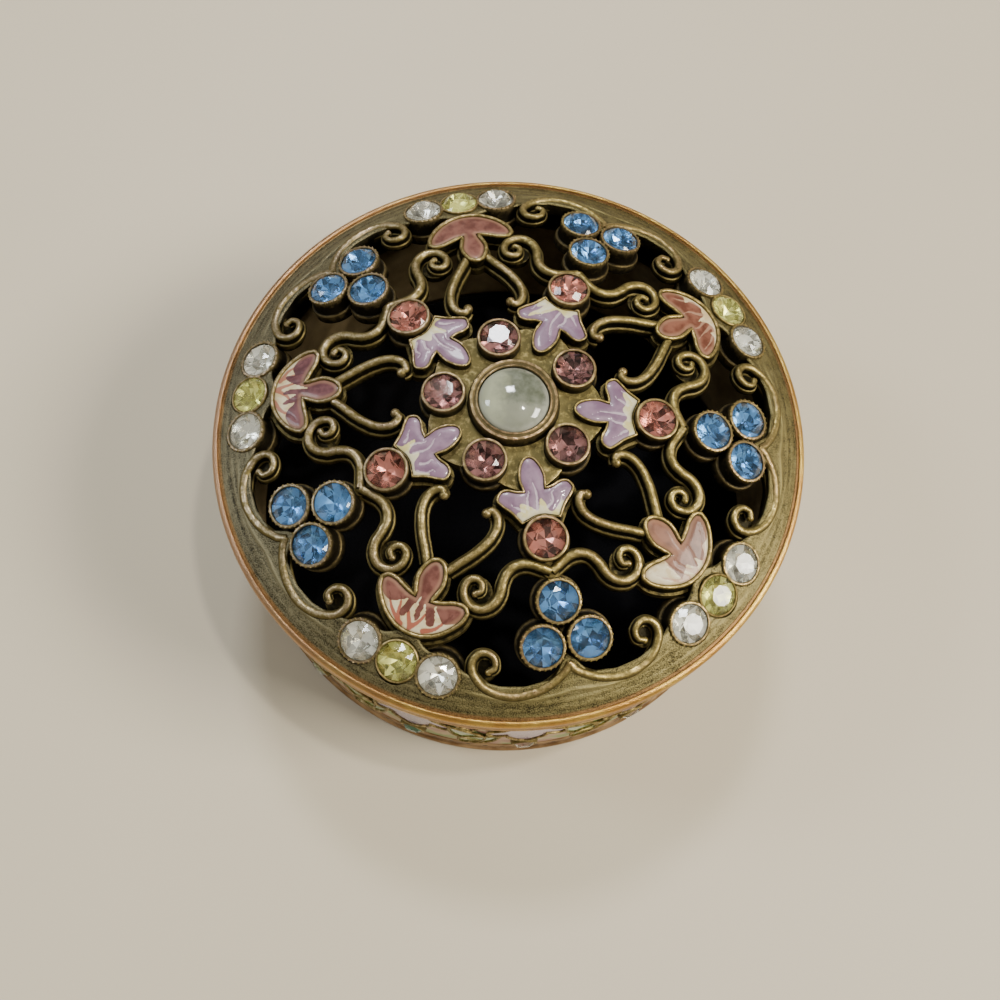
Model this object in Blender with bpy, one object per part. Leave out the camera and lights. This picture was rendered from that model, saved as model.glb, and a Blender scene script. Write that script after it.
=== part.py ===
"""Round trinket box with a pierced, domed lid set with stones and filled with enamel."""
import math

import bmesh
import bpy
from mathutils import Matrix, Vector
from mathutils.geometry import delaunay_2d_cdt

MM = 0.001

# Stones, which set the scale of everything round them
STONE_DIAMETER = 3.5 * MM
STONE_SIDES = 8
TABLE_SHARE = 0.56
CROWN_HEIGHT = 0.65 * MM
PAVILION_DEPTH = 1.2 * MM
SEAT_CLEARANCE = 0.1 * MM
CULET_CLEARANCE = 0.15 * MM
BEZEL_WALL = 0.5 * MM
BEZEL_OVERLAP = 0.25 * MM

# Cabochon in the middle of the lid
CABOCHON_DIAMETER = 7.0 * MM
CABOCHON_SIDES = 16
CABOCHON_EDGE = 0.9 * MM
CABOCHON_RISE = 1.5 * MM
CABOCHON_WALL = 0.6 * MM

# Lid
LID_RADIUS = 30.0 * MM
ROUND_SIDES = 50
DOME_RISE = 7.05 * MM
DOME_POWER = 2.45
PLATE = 2.0 * MM
RIM_HEIGHT = 2.2 * MM
RIM_BEAD_WIDTH = 0.8 * MM
RIM_BEAD_RISE = 0.3 * MM
SKIRT_DEPTH = 1.6 * MM
LID_CLEARANCE = 0.3 * MM

# Heights above the plate
CELL_LIP = 0.3 * MM
BEZEL_LIP = CELL_LIP + 0.3 * MM
ENAMEL_DEPTH = 0.7 * MM
ENAMEL_CLEARANCE = 0.12 * MM
ENAMEL_BELOW_LIP = 0.08 * MM
CELL_WALL = 0.3 * MM

# Scrollwork, drawn in thirtieths of the lid's radius
UNIT = LID_RADIUS / 30.0
FOLD = 5
SKIRT_INSIDE = 26.8 * UNIT
HUB_PAST_STONE = 0.6 * UNIT
HUB_NOTCH = (2.57, 7.9)
HUB_UNDER_BUD = (0.0, 9.0)
HUB_GAP = 0.25 * UNIT
PINK_RING = 13.9 * UNIT
TREFOIL_RING = 23.25 * UNIT
TRIPLE_GAP = 0.5 * MM
RIM_MARGIN = 1.25 * UNIT
ARM_WIDTH = 0.75 * UNIT
SCROLL_WIDTH = 0.8 * UNIT
CURL_WIDTH = 0.6 * UNIT
EDGE_SCROLL_WIDTH = 0.9 * UNIT

# Box under the lid
BOX_HEIGHT = 20.0 * MM
BOX_INSET = 1.1 * MM
BEAD_INSET = 0.65 * MM
BEAD_HEIGHT = 1.4 * MM
BOX_WALL = 1.0 * MM
BOX_FLOOR = 1.5 * MM
LINING_HEIGHT = 1.0 * MM
LINING_GAP = 0.3 * MM

# Flowers and crystals round the box
MOTIFS = 15
MOTIF_START = math.radians(-104.0)
RELIEF_RISE = 0.4 * MM
RELIEF_ROOT = 0.3 * MM
CRYSTAL_RADIUS = 1.5 * MM
CRYSTAL_RISE = 0.75 * MM
CRYSTAL_HEIGHT = 5.2 * MM
CRYSTAL_SIDES = 6
LINING_SIDES = 32
FLOWER_HEIGHT = 13.2 * MM
FLOWER_WIDTH = 3.4 * MM
LEAF_HEIGHT = 9.2 * MM
LEAF_LENGTH = 3.6 * MM
LEAF_WIDTH = 1.25 * MM

SEAT_RADIUS = STONE_DIAMETER / 2 + SEAT_CLEARANCE
BEZEL_RADIUS = SEAT_RADIUS + BEZEL_WALL
CABOCHON_SEAT = CABOCHON_DIAMETER / 2 + SEAT_CLEARANCE
CABOCHON_BEZEL = CABOCHON_SEAT + CABOCHON_WALL
AMETHYST_RING = CABOCHON_BEZEL + HUB_GAP + BEZEL_RADIUS
TREFOIL_PITCH = 2 * BEZEL_RADIUS - BEZEL_OVERLAP
TREFOIL_WEB_RADIUS = BEZEL_RADIUS / 2
YELLOW_RING = LID_RADIUS - RIM_MARGIN - BEZEL_RADIUS
TRIPLE_PITCH = STONE_DIAMETER + TRIPLE_GAP
ROSE_BASE = YELLOW_RING - BEZEL_RADIUS - ENAMEL_CLEARANCE
LID_BASE = BOX_HEIGHT + LID_CLEARANCE + RIM_HEIGHT
BOX_RADIUS = LID_RADIUS - BOX_INSET
BEAD_RADIUS = LID_RADIUS - BEAD_INSET
WALL_INSIDE = BOX_RADIUS - BOX_WALL
SKIRT_RADIUS = WALL_INSIDE - LID_CLEARANCE

# Half outlines and paths with their ray pointing up, in thirtieths of the lid's radius
BUD_HALF = ((0.0, 5.8), (0.9, 6.4), (1.25, 7.6), (1.15, 9.1), (2.5, 8.65), (3.5, 8.95),
            (3.7, 9.7), (2.45, 11.9))
ROSE_HALF = ((0.0, -7.25), (0.85, -6.8), (1.3, -5.6), (1.2, -3.75), (2.9, -4.3), (4.3, -4.1),
             (4.6, -3.3), (3.3, -1.8), (1.7, -0.2))
LONG_ARM = ((9.7, 14.7), (7.4, 14.0), (5.0, 12.85), (4.0, 11.3), (4.3, 10.3))
S_SCROLL = ((0.2, 16.4), (2.0, 15.55), (3.8, 15.55), (5.0, 17.5), (6.3, 18.8),
            (8.1, 18.5), (8.5, 16.9), (7.5, 15.6), (6.6, 16.9))
EDGE_SCROLL = ((0.0, 25.1), (2.0, 26.0), (4.4, 26.45), (6.8, 26.0), (8.5, 24.6),
               (8.85, 23.1), (7.8, 22.4), (6.6, 23.3), (7.0, 24.5))
EDGE_STEPS = 5
CUSP = (0.0, 24.0)
INNER_EDGE = ((10.4, 23.2), (12.4, 21.6))
CORNER_INSET = 0.7 * UNIT
WEBS = ((16.65, 0.9), (24.9, 0.9))
ARM_BALL = (4.35, 10.25)
ARM_BALL_RADIUS = 0.55 * UNIT
WEB_SIDES = 6

# Plan shapes of the lid by rank: where shapes overlap, the one with the highest rank shows
RIM, OPENING, PLATEWORK, CELL, RECESS, BEZEL, SEAT = range(7)
UNDER_BODY, UNDER_SKIRT, UNDER_PLATE, UNDER_HOLE = range(4)
SNAP = 0.02 * MM
EXACT = 0.000001 * MM
LEVEL_STEP = 0.001 * MM
TOUCH_WEB_RADIUS = 0.35 * MM
TOUCH_ROUNDS = 6
SEAT_RIM_SHARE = 0.98
FLAT_ANGLE = math.radians(6.0)
SMOOTH_ANGLE = math.radians(32.0)


def material(name, colour, roughness, metallic=0.0):
    mat = bpy.data.materials.new(name)
    mat.use_nodes = True
    shader = mat.node_tree.nodes["Principled BSDF"]
    shader.inputs["Base Color"].default_value = (*colour, 1.0)
    shader.inputs["Roughness"].default_value = roughness
    shader.inputs["Metallic"].default_value = metallic
    return mat


def add_object(name, mesh, mat, location=(0.0, 0.0, 0.0)):
    mesh.materials.append(mat)
    obj = bpy.data.objects.new(name, mesh)
    obj.location = location
    bpy.context.collection.objects.link(obj)
    return obj


def finish_mesh(name, bm):
    mesh = bpy.data.meshes.new(name)
    bm.to_mesh(mesh)
    bm.free()
    mesh.shade_smooth()
    mesh.set_sharp_from_angle(angle=SMOOTH_ANGLE)
    return mesh


def dome(radius):
    """Height of the plate above the lid's edge."""
    return DOME_RISE * (1.0 - min(radius / LID_RADIUS, 1.0) ** DOME_POWER)


def dome_slope(radius):
    return DOME_RISE * DOME_POWER / LID_RADIUS * (radius / LID_RADIUS) ** (DOME_POWER - 1.0)


def scaled(points):
    return [Vector(point) * UNIT for point in points]


def turned(points, angle):
    """Turn points whose ray points up so that the ray lies at the angle."""
    turn = Matrix.Rotation(angle - math.pi / 2, 2)
    return [turn @ Vector(point) for point in points]


def mirrored(points):
    return [Vector((-point[0], point[1])) for point in points]


def circle(radius, sides, centre=(0.0, 0.0)):
    steps = (2 * math.pi * i / sides for i in range(sides))
    return [Vector((centre[0] + radius * math.cos(a), centre[1] + radius * math.sin(a))) for a in steps]


def grown(outline, distance):
    """Move each corner of a counter-clockwise outline outwards."""
    result = []
    for i, corner in enumerate(outline):
        before = (corner - outline[i - 1]).normalized()
        after = (outline[(i + 1) % len(outline)] - corner).normalized()
        along = (before + after).normalized()
        share = max(along.dot(before), 0.6)
        result.append(corner + Vector((along.y, -along.x)) * distance / share)
    return result


def counter_clockwise(outline):
    area = sum(outline[i - 1].cross(outline[i]) for i in range(len(outline)))
    return outline if area > 0 else outline[::-1]


def full_outline(half, middle=()):
    """Close a half outline with its mirror image; both start on the axis."""
    right = [Vector(point) for point in half]
    left = [point for point in mirrored(right)[::-1] if abs(point.x) > SNAP]
    return counter_clockwise(right + list(middle) + left)


def set_stones():
    """Place every faceted stone: name, plan centre and the height of its girdle over the plate."""
    side = math.asin(TRIPLE_PITCH / 2 / YELLOW_RING) * 2
    stones = []
    for i in range(FOLD):
        ray = 2 * math.pi * i / FOLD
        between = ray + math.pi / FOLD
        layout = (
            ("pink_stone", (0.0, PINK_RING), ray, BEZEL_LIP),
            ("blue_inner", (0.0, TREFOIL_RING - trefoil_drop()), ray, BEZEL_LIP),
            ("blue_left", (-TREFOIL_PITCH / 2, TREFOIL_RING), ray, BEZEL_LIP),
            ("blue_right", (TREFOIL_PITCH / 2, TREFOIL_RING), ray, BEZEL_LIP),
            ("amethyst", (0.0, AMETHYST_RING), between, BEZEL_LIP),
            ("yellow_stone", (0.0, YELLOW_RING), between, 0.0),
            ("clear_left", (0.0, YELLOW_RING), between + side, 0.0),
            ("clear_right", (0.0, YELLOW_RING), between - side, 0.0),
        )
        for name, point, angle, lip in layout:
            stones.append((f"{name}_{i + 1}", turned([point], angle)[0], lip))
    return stones


def leaning_circle(centre, radius):
    """Plan view of a circle that lies on the dome, narrowed along its slope."""
    distance = centre.length
    lean = math.cos(math.atan(dome_slope(distance)))
    outward = centre.normalized()
    across = Vector((-outward.y, outward.x))
    points = []
    for i in range(STONE_SIDES):
        angle = 2 * math.pi * i / STONE_SIDES
        points.append(centre + outward * radius * math.cos(angle) * lean + across * radius * math.sin(angle))
    return points


def sloping_facet(one, two, deepest, level, bottom):
    """Height over a flat triangle between two rim corners and the deepest point of a seat."""
    whole = (one - deepest).cross(two - deepest)

    def height(point):
        offset = point - deepest
        share_one = offset.cross(two - deepest) / whole
        share_two = (one - deepest).cross(offset) / whole
        if share_one + share_two > SEAT_RIM_SHARE:
            return level(point)
        return bottom + share_one * (level(one) - bottom) + share_two * (level(two) - bottom)

    return height


def seat_facets(centre, lip):
    """Pointed seat under a stone, as facets from its rim down to its deepest point."""
    depth = PAVILION_DEPTH + CULET_CLEARANCE
    lean = math.atan(dome_slope(centre.length))
    deepest = centre - centre.normalized() * depth * math.sin(lean)
    bottom = dome(centre.length) + lip - depth * math.cos(lean)
    level = over_dome(lip)
    rim = leaning_circle(centre, SEAT_RADIUS)
    return [(SEAT, sloping_facet(rim[i - 1], rim[i], deepest, level, bottom), [rim[i - 1], rim[i], deepest])
            for i in range(STONE_SIDES)]


def ribbon(path, start_width, end_width):
    """Short quads along a path, which stay simple where the path curls."""
    rails = []
    last = len(path) - 1
    for i, point in enumerate(path):
        along = (path[min(i + 1, last)] - path[max(i - 1, 0)]).normalized()
        half = (start_width + (end_width - start_width) * i / last) / 2
        side = Vector((-along.y, along.x)) * half
        rails.append((point + side, point - side))
    quads = []
    for one, two in zip(rails, rails[1:]):
        quads.append([one[0], one[1], two[1], two[0]])
    return [counter_clockwise(quad) for quad in quads]


def bud_outline():
    """Enamel of a lavender bud, hollowed at its base by the pink stone's bezel."""
    reach = BEZEL_RADIUS + ENAMEL_CLEARANCE
    end = math.acos((PINK_RING - BUD_HALF[-1][1] * UNIT) / reach)
    angles = [end * share for share in (1.0, 0.5, 0.0, -0.5, -1.0)]
    hollow = [Vector((reach * math.sin(a), PINK_RING - reach * math.cos(a))) for a in angles]
    return full_outline(scaled(BUD_HALF), hollow)


def rose_outline():
    return full_outline([point + Vector((0.0, ROSE_BASE)) for point in scaled(ROSE_HALF)])


def flowers():
    """Name, enamel outline, cell outline and colour of each flower on the lid."""
    cell = full_outline(scaled(BUD_HALF))
    result = []
    for i in range(FOLD):
        ray = 2 * math.pi * i / FOLD
        between = ray + math.pi / FOLD
        rose = turned(rose_outline(), between)
        result.append((f"bud_enamel_{i + 1}", turned(bud_outline(), ray), turned(cell, ray), "lavender"))
        result.append((f"rose_enamel_{i + 1}", rose, rose, "rose"))
    return result


def lid_paths():
    """Middle lines of all scrolls, with their widths."""
    patterns = ((LONG_ARM, ARM_WIDTH, ARM_WIDTH), (S_SCROLL, SCROLL_WIDTH, CURL_WIDTH),
                (EDGE_SCROLL, EDGE_SCROLL_WIDTH, CURL_WIDTH))
    paths = []
    for i in range(FOLD):
        ray = 2 * math.pi * i / FOLD
        for pattern, start, end in patterns:
            for half in (scaled(pattern), mirrored(scaled(pattern))):
                paths.append((turned(half, ray), start, end))
    return paths


def trefoil_drop():
    """How much nearer the middle the inner blue stone sits than the two outer ones, in plan."""
    lean = math.atan(dome_slope(TREFOIL_RING - TREFOIL_PITCH / 2))
    return TREFOIL_PITCH * math.sin(math.pi / 3) * math.cos(lean)


def small_discs():
    """Balls that end the long arms, and webs that tie neighbouring bezels together."""
    discs = []
    trefoil_middle = (0.0, TREFOIL_RING - trefoil_drop() / 3)
    for i in range(FOLD):
        ray = 2 * math.pi * i / FOLD
        discs.append(circle(TREFOIL_WEB_RADIUS, WEB_SIDES, turned([trefoil_middle], ray)[0]))
        for ring, radius in WEBS:
            discs.append(circle(radius * UNIT, WEB_SIDES, turned(scaled([(0.0, ring)]), ray)[0]))
        for side in (-1, 1):
            ball = turned(scaled([(side * ARM_BALL[0], ARM_BALL[1])]), ray)[0]
            discs.append(circle(ARM_BALL_RADIUS, WEB_SIDES, ball))
    return discs


def opening_outline():
    """Inner edge of the lid's band, which follows the edge scrolls."""
    corner = Vector((math.sin(math.pi / FOLD), math.cos(math.pi / FOLD))) * (ROSE_BASE - CORNER_INSET)
    half = scaled((CUSP,) + EDGE_SCROLL[1:EDGE_STEPS] + INNER_EDGE) + [corner]
    outline = []
    for i in range(FOLD):
        ray = 2 * math.pi * i / FOLD
        outline += turned(half[::-1] + mirrored(half)[1:-1], ray)
    return counter_clockwise(outline)


def bead_height(radius):
    """Rise of the round bead along the lid's edge."""
    middle = LID_RADIUS - RIM_BEAD_WIDTH / 2
    return RIM_BEAD_RISE * max(0.0, 1.0 - abs(radius - middle) / (RIM_BEAD_WIDTH / 2))


def platework(point):
    """Height of the plate and its bead above the lid's edge."""
    return dome(point.length) + bead_height(point.length)


class Solid:
    """Closed body between an upper and a lower stepped surface."""

    def __init__(self):
        self.bm = bmesh.new()
        self.vertices = {}

    def vertex(self, key, height):
        """The one vertex over a plan point at a height."""
        levels = self.vertices.setdefault(key, {})
        level = round(height, 7)
        if level not in levels:
            levels[level] = self.bm.verts.new((*key, height))
        return levels[level]

    def chain(self, key, low, high):
        """All vertices over one plan point from one height up to another."""
        levels = self.vertices[key]
        low, high = round(low, 7), round(high, 7)
        return [levels[level] for level in sorted(levels) if low <= level <= high]

    def skin(self, surface, upward):
        for keys, heights in surface:
            face = [self.vertex(key, height) for key, height in zip(keys, heights)]
            self.bm.faces.new(face if upward else face[::-1])

    def wall(self, edge, low, high):
        """Upright strip over one edge of the plan, facing right of its direction."""
        left, right = (self.chain(key, low[i], high[i]) for i, key in enumerate(edge))
        i = j = 0
        while i + 1 < len(left) or j + 1 < len(right):
            lift_left = j + 1 == len(right)
            if i + 1 < len(left) and not lift_left:
                lift_left = left[i + 1].co.z <= right[j + 1].co.z
            if lift_left:
                self.bm.faces.new((left[i], right[j], left[i + 1]))
                i += 1
            else:
                self.bm.faces.new((left[i], right[j], right[j + 1]))
                j += 1


def plan_key(point):
    return round(point.x, 7), round(point.y, 7)


def surface_over(shapes, height_of, snap=SNAP):
    """Triangles of one surface as plan points with the height of each corner."""
    points = []
    faces = []
    for _, _, outline in shapes:
        faces.append(list(range(len(points), len(points) + len(outline))))
        points += outline
    corners, _, triangles, _, _, owners = delaunay_2d_cdt(points, [], faces, 1, snap)
    surface = []
    for triangle, owner in zip(triangles, owners):
        shape = max((shapes[index] for index in owner), key=lambda item: item[0])
        if shape[1] is not None:
            here = [corners[index] for index in triangle]
            keys = [plan_key(point) for point in here]
            if len(set(keys)) == len(keys):
                surface.append((keys, [height_of(point, shape) for point in here]))
    return surface


def edges_of(surface):
    """Map each directed edge to the heights of its two ends."""
    edges = {}
    for keys, heights in surface:
        for i in range(3):
            j = (i + 1) % 3
            edges[(keys[i], keys[j])] = (heights[i], heights[j])
    return edges


def outer_loops(edges):
    """Closed loops of the edges that have a triangle on one side only."""
    following = {a: b for a, b in edges if (b, a) not in edges}
    loops = []
    while following:
        start, step = following.popitem()
        loop = [Vector(start)]
        while step != start:
            loop.append(Vector(step))
            step = following.pop(step)
        loops.append(loop)
    return loops


def touching_points(surface):
    """Plan points where the surface meets itself only at a corner."""
    edges = edges_of(surface)
    starts = [a for a, b in edges if (b, a) not in edges]
    return [Vector(point) for point in sorted(set(starts)) if starts.count(point) > 1]


def stepped_solid(upper, under_shapes, under_height):
    """Close an upper surface with an underside of the same outline and upright walls."""
    upper_edges = edges_of(upper)
    outline_shapes = []
    for loop in outer_loops(upper_edges):
        turns_left = counter_clockwise(loop) is loop
        outline_shapes.append((UNDER_BODY, 0.0, loop) if turns_left else (UNDER_HOLE, None, loop[::-1]))
    under = surface_over(outline_shapes + under_shapes, under_height, EXACT)
    under_edges = edges_of(under)
    solid = Solid()
    solid.skin(upper, True)
    solid.skin(under, False)
    for (a, b), own in upper_edges.items():
        if (b, a) not in upper_edges:
            solid.wall((a, b), under_edges[(a, b)], own)
            continue
        other = upper_edges[(b, a)][::-1]
        if sum(own) > sum(other) + LEVEL_STEP:
            solid.wall((a, b), other, own)
    for (a, b), own in under_edges.items():
        if (b, a) in under_edges:
            other = under_edges[(b, a)][::-1]
            if sum(own) < sum(other) - LEVEL_STEP:
                solid.wall((a, b), own, other)
    return solid.bm


def recess_floor(outline):
    """Level floor of an enamel cell, on the slope of the dome at its middle."""
    middle = sum(outline, Vector((0.0, 0.0))) / len(outline)
    outward = middle.normalized()
    height = dome(middle.length) + CELL_LIP - ENAMEL_DEPTH
    slope = dome_slope(middle.length)
    return lambda point: height - slope * (point - middle).dot(outward)


def over_dome(level):
    return lambda point: dome(point.length) + level


def hub_outline():
    """Web between the cabochon and the flowers, with corners under the amethysts."""
    outline = []
    for i in range(FOLD):
        ray = 2 * math.pi * i / FOLD
        right = scaled([HUB_NOTCH])[0]
        amethyst = turned([(0.0, AMETHYST_RING + HUB_PAST_STONE)], math.pi / 2 - math.pi / FOLD)[0]
        corners = [amethyst, right, *scaled([HUB_UNDER_BUD]), *mirrored([right])]
        outline += turned(corners, ray)
    return outline


def lid_shapes(stones):
    """Plan shapes of the casting as (rank, height function, outline)."""
    shapes = [(RIM, platework, circle(LID_RADIUS, ROUND_SIDES))]
    for inset in (RIM_BEAD_WIDTH, RIM_BEAD_WIDTH / 2):
        shapes.append((RIM, platework, circle(LID_RADIUS - inset, ROUND_SIDES)))
    shapes.append((OPENING, None, opening_outline()))
    shapes.append((PLATEWORK, platework, hub_outline()))
    for path, start, end in lid_paths():
        shapes += [(PLATEWORK, platework, quad) for quad in ribbon(path, start, end)]
    shapes += [(PLATEWORK, platework, disc) for disc in small_discs()]
    for _, _, cell, _ in flowers():
        shapes.append((CELL, over_dome(CELL_LIP), grown(cell, ENAMEL_CLEARANCE + CELL_WALL)))
        shapes.append((RECESS, recess_floor(cell), grown(cell, ENAMEL_CLEARANCE)))
    for name, centre, lip in stones:
        if not name.startswith("yellow"):
            shapes.append((BEZEL, over_dome(lip), leaning_circle(centre, BEZEL_RADIUS)))
        shapes += seat_facets(centre, lip)
    middle = (0.0, 0.0)
    shapes.append((BEZEL, over_dome(BEZEL_LIP), circle(CABOCHON_BEZEL, CABOCHON_SIDES, middle)))
    shapes.append((SEAT, over_dome(-CABOCHON_EDGE), circle(CABOCHON_SEAT, CABOCHON_SIDES, middle)))
    return shapes


def lid_bmesh(stones):
    """Cast lid: stepped upper face, smooth underside, rim and locating skirt, webbed where parts touch."""

    def under_height(point, shape):
        if shape[0] == UNDER_PLATE:
            return dome(point.length) - PLATE
        return -RIM_HEIGHT - (SKIRT_DEPTH if shape[0] == UNDER_SKIRT else 0.0)

    under_shapes = [(UNDER_SKIRT, 0.0, circle(SKIRT_RADIUS, ROUND_SIDES)),
                    (UNDER_PLATE, 0.0, circle(SKIRT_INSIDE, ROUND_SIDES))]
    shapes = lid_shapes(stones)
    upper = surface_over(shapes, lambda point, shape: shape[1](point))
    for _ in range(TOUCH_ROUNDS):
        touching = touching_points(upper)
        if not touching:
            break
        shapes += [(PLATEWORK, platework, circle(TOUCH_WEB_RADIUS, WEB_SIDES, point)) for point in touching]
        upper = surface_over(shapes, lambda point, shape: shape[1](point))
    bm = stepped_solid(upper, under_shapes, under_height)
    bm.normal_update()
    bmesh.ops.dissolve_limit(bm, angle_limit=FLAT_ANGLE, use_dissolve_boundaries=False,
                             verts=bm.verts, edges=bm.edges, delimit=set())
    bmesh.ops.triangulate(bm, faces=bm.faces, quad_method="BEAUTY", ngon_method="BEAUTY")
    return bm


def enamel_bmesh(outline, cell):
    """Enamel that fills one cell, level with the cell's lip."""
    floor = recess_floor(cell)
    surface = over_dome(CELL_LIP - ENAMEL_BELOW_LIP)
    upper = surface_over([(RIM, surface, outline)], lambda point, shape: surface(point))
    return stepped_solid(upper, [], lambda point, shape: floor(point) + ENAMEL_CLEARANCE)


def turned_bmesh(profile, sides):
    """Closed body turned from (radius, height) pairs that start and end on the axis."""
    bm = bmesh.new()
    rings = []
    for radius, height in profile:
        if radius == 0.0:
            rings.append([bm.verts.new((0.0, 0.0, height))])
        else:
            rings.append([bm.verts.new((*point, height)) for point in circle(radius, sides)])
    for low, high in zip(rings, rings[1:]):
        for i in range(sides):
            j = (i + 1) % sides
            face = [low[i % len(low)], low[j % len(low)], high[j % len(high)], high[i % len(high)]]
            bm.faces.new(list(dict.fromkeys(face)))
    return bm


def stone_bmesh():
    """Faceted stone: pointed back, girdle and a flat table."""
    radius = STONE_DIAMETER / 2
    profile = [(0.0, -PAVILION_DEPTH), (radius, 0.0), (radius * TABLE_SHARE, CROWN_HEIGHT),
               (0.0, CROWN_HEIGHT)]
    return turned_bmesh(profile, STONE_SIDES)


def cabochon_bmesh():
    """Domed glass button with a flat back."""
    radius = CABOCHON_DIAMETER / 2
    profile = [(0.0, -CABOCHON_EDGE), (radius, -CABOCHON_EDGE), (radius, 0.0)]
    for degrees in (30, 60):
        angle = math.radians(degrees)
        profile.append((radius * math.cos(angle), CABOCHON_RISE * math.sin(angle)))
    profile.append((0.0, CABOCHON_RISE))
    return turned_bmesh(profile, CABOCHON_SIDES)


def box_profile():
    """Outer wall from the foot up, over the top edge and down to the floor."""
    top = BOX_HEIGHT
    return [(0.0, 0.0), (BEAD_RADIUS, 0.0), (BEAD_RADIUS, BEAD_HEIGHT), (BOX_RADIUS, BEAD_HEIGHT),
            (BOX_RADIUS, top - BEAD_HEIGHT), (BEAD_RADIUS, top - BEAD_HEIGHT), (BEAD_RADIUS, top),
            (WALL_INSIDE, top), (WALL_INSIDE, BOX_FLOOR), (0.0, BOX_FLOOR)]


def bent_prism(bm, outline, rise):
    """Raised shape on the wall; the outline holds (distance along the wall, height)."""
    rings = []
    for radius in (BOX_RADIUS - RELIEF_ROOT, BOX_RADIUS + rise):
        ring = []
        for along, height in outline:
            angle = along / BOX_RADIUS
            ring.append(bm.verts.new((radius * math.cos(angle), radius * math.sin(angle), height)))
        rings.append(ring)
    inner, outer = rings
    count = len(outline)
    for i in range(count):
        j = (i + 1) % count
        bm.faces.new((inner[i], inner[j], outer[j], outer[i]))
    bm.faces.new(inner[::-1])
    top = bm.faces.new(outer)
    return bmesh.ops.triangulate(bm, faces=[top])


def flower_on_wall(centre):
    """Three hanging petals."""
    half = ((0.0, 0.8), (0.6, 0.7), (1.0, -0.3), (0.35, 0.0), (0.0, -1.1))
    outline = full_outline([Vector(point) * FLOWER_WIDTH for point in half])
    return [Vector((centre + point.x, FLOWER_HEIGHT + point.y)) for point in outline]


def leaf_on_wall(centre, lean):
    """Pointed leaf set at an angle."""
    half_length, half_width = LEAF_LENGTH / 2, LEAF_WIDTH / 2
    outline = [Vector((-half_length, 0.0)), Vector((0.0, -half_width)),
               Vector((half_length, 0.0)), Vector((0.0, half_width))]
    turn = Matrix.Rotation(lean, 2)
    return [Vector((centre, LEAF_HEIGHT)) + turn @ point for point in outline]


def relief_bmesh():
    """All raised flowers, leaves and crystals of the wall, as separate closed shapes."""
    bm = bmesh.new()
    pitch = 2 * math.pi * BOX_RADIUS / MOTIFS
    for i in range(MOTIFS):
        centre = MOTIF_START * BOX_RADIUS + pitch * i
        bent_prism(bm, flower_on_wall(centre), RELIEF_RISE)
        bent_prism(bm, leaf_on_wall(centre + pitch / 2, math.radians(60)), RELIEF_RISE)
        crystal = circle(CRYSTAL_RADIUS, CRYSTAL_SIDES, (centre, CRYSTAL_HEIGHT))
        bent_prism(bm, crystal, CRYSTAL_RISE)
    return bm


def clear_scene():
    for obj in list(bpy.data.objects):
        bpy.data.objects.remove(obj, do_unlink=True)


def add_box(brass, velvet):
    box = add_object("box_body", finish_mesh("box_body", turned_bmesh(box_profile(), ROUND_SIDES)), brass)
    relief = add_object("wall_relief", finish_mesh("wall_relief", relief_bmesh()), brass)
    relief.hide_render = True
    relief.display_type = "WIRE"
    union = box.modifiers.new("wall_relief", "BOOLEAN")
    union.operation = "UNION"
    union.solver = "EXACT"
    union.object = relief
    lining = [(0.0, 0.0), (WALL_INSIDE - LINING_GAP, 0.0), (WALL_INSIDE - LINING_GAP, LINING_HEIGHT),
              (0.0, LINING_HEIGHT)]
    mesh = finish_mesh("floor_lining", turned_bmesh(lining, LINING_SIDES))
    add_object("floor_lining", mesh, velvet, (0.0, 0.0, BOX_FLOOR + LINING_GAP))


def add_lid(brass, enamels, stone_materials):
    stones = set_stones()
    add_object("lid", finish_mesh("lid", lid_bmesh(stones)), brass, (0.0, 0.0, LID_BASE))
    for name, outline, cell, colour in flowers():
        mesh = finish_mesh(name, enamel_bmesh(outline, cell))
        add_object(name, mesh, enamels[colour], (0.0, 0.0, LID_BASE))
    for name, centre, lip in stones:
        mesh = finish_mesh(name, stone_bmesh())
        kind = name.split("_")[0]
        height = LID_BASE + dome(centre.length) + lip
        obj = add_object(name, mesh, stone_materials[kind], (*centre, height))
        lean = math.atan(dome_slope(centre.length))
        obj.rotation_euler = (0.0, lean, math.atan2(centre.y, centre.x))
    mesh = finish_mesh("cabochon", cabochon_bmesh())
    add_object("cabochon", mesh, stone_materials["cabochon"], (0.0, 0.0, LID_BASE + DOME_RISE + SEAT_CLEARANCE))


clear_scene()
BRASS = material("antique_brass", (0.42, 0.34, 0.19), 0.38, 1.0)
VELVET = material("black_velvet", (0.01, 0.01, 0.012), 0.95)
ENAMELS = {
    "lavender": material("lavender_enamel", (0.45, 0.31, 0.47), 0.2),
    "rose": material("rose_enamel", (0.42, 0.2, 0.17), 0.2),
}
STONES = {
    "pink": material("pink_stone", (0.6, 0.12, 0.12), 0.05),
    "blue": material("blue_stone", (0.08, 0.25, 0.55), 0.05),
    "amethyst": material("amethyst_stone", (0.18, 0.06, 0.09), 0.05),
    "yellow": material("yellow_stone", (0.6, 0.6, 0.1), 0.05),
    "clear": material("clear_stone", (0.75, 0.75, 0.65), 0.05),
    "cabochon": material("moonstone", (0.65, 0.72, 0.65), 0.08),
}
add_box(BRASS, VELVET)
add_lid(BRASS, ENAMELS, STONES)
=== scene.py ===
import math

import bmesh
import bpy
import numpy as np
from mathutils import Matrix, Vector
from mathutils.geometry import delaunay_2d_cdt


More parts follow.
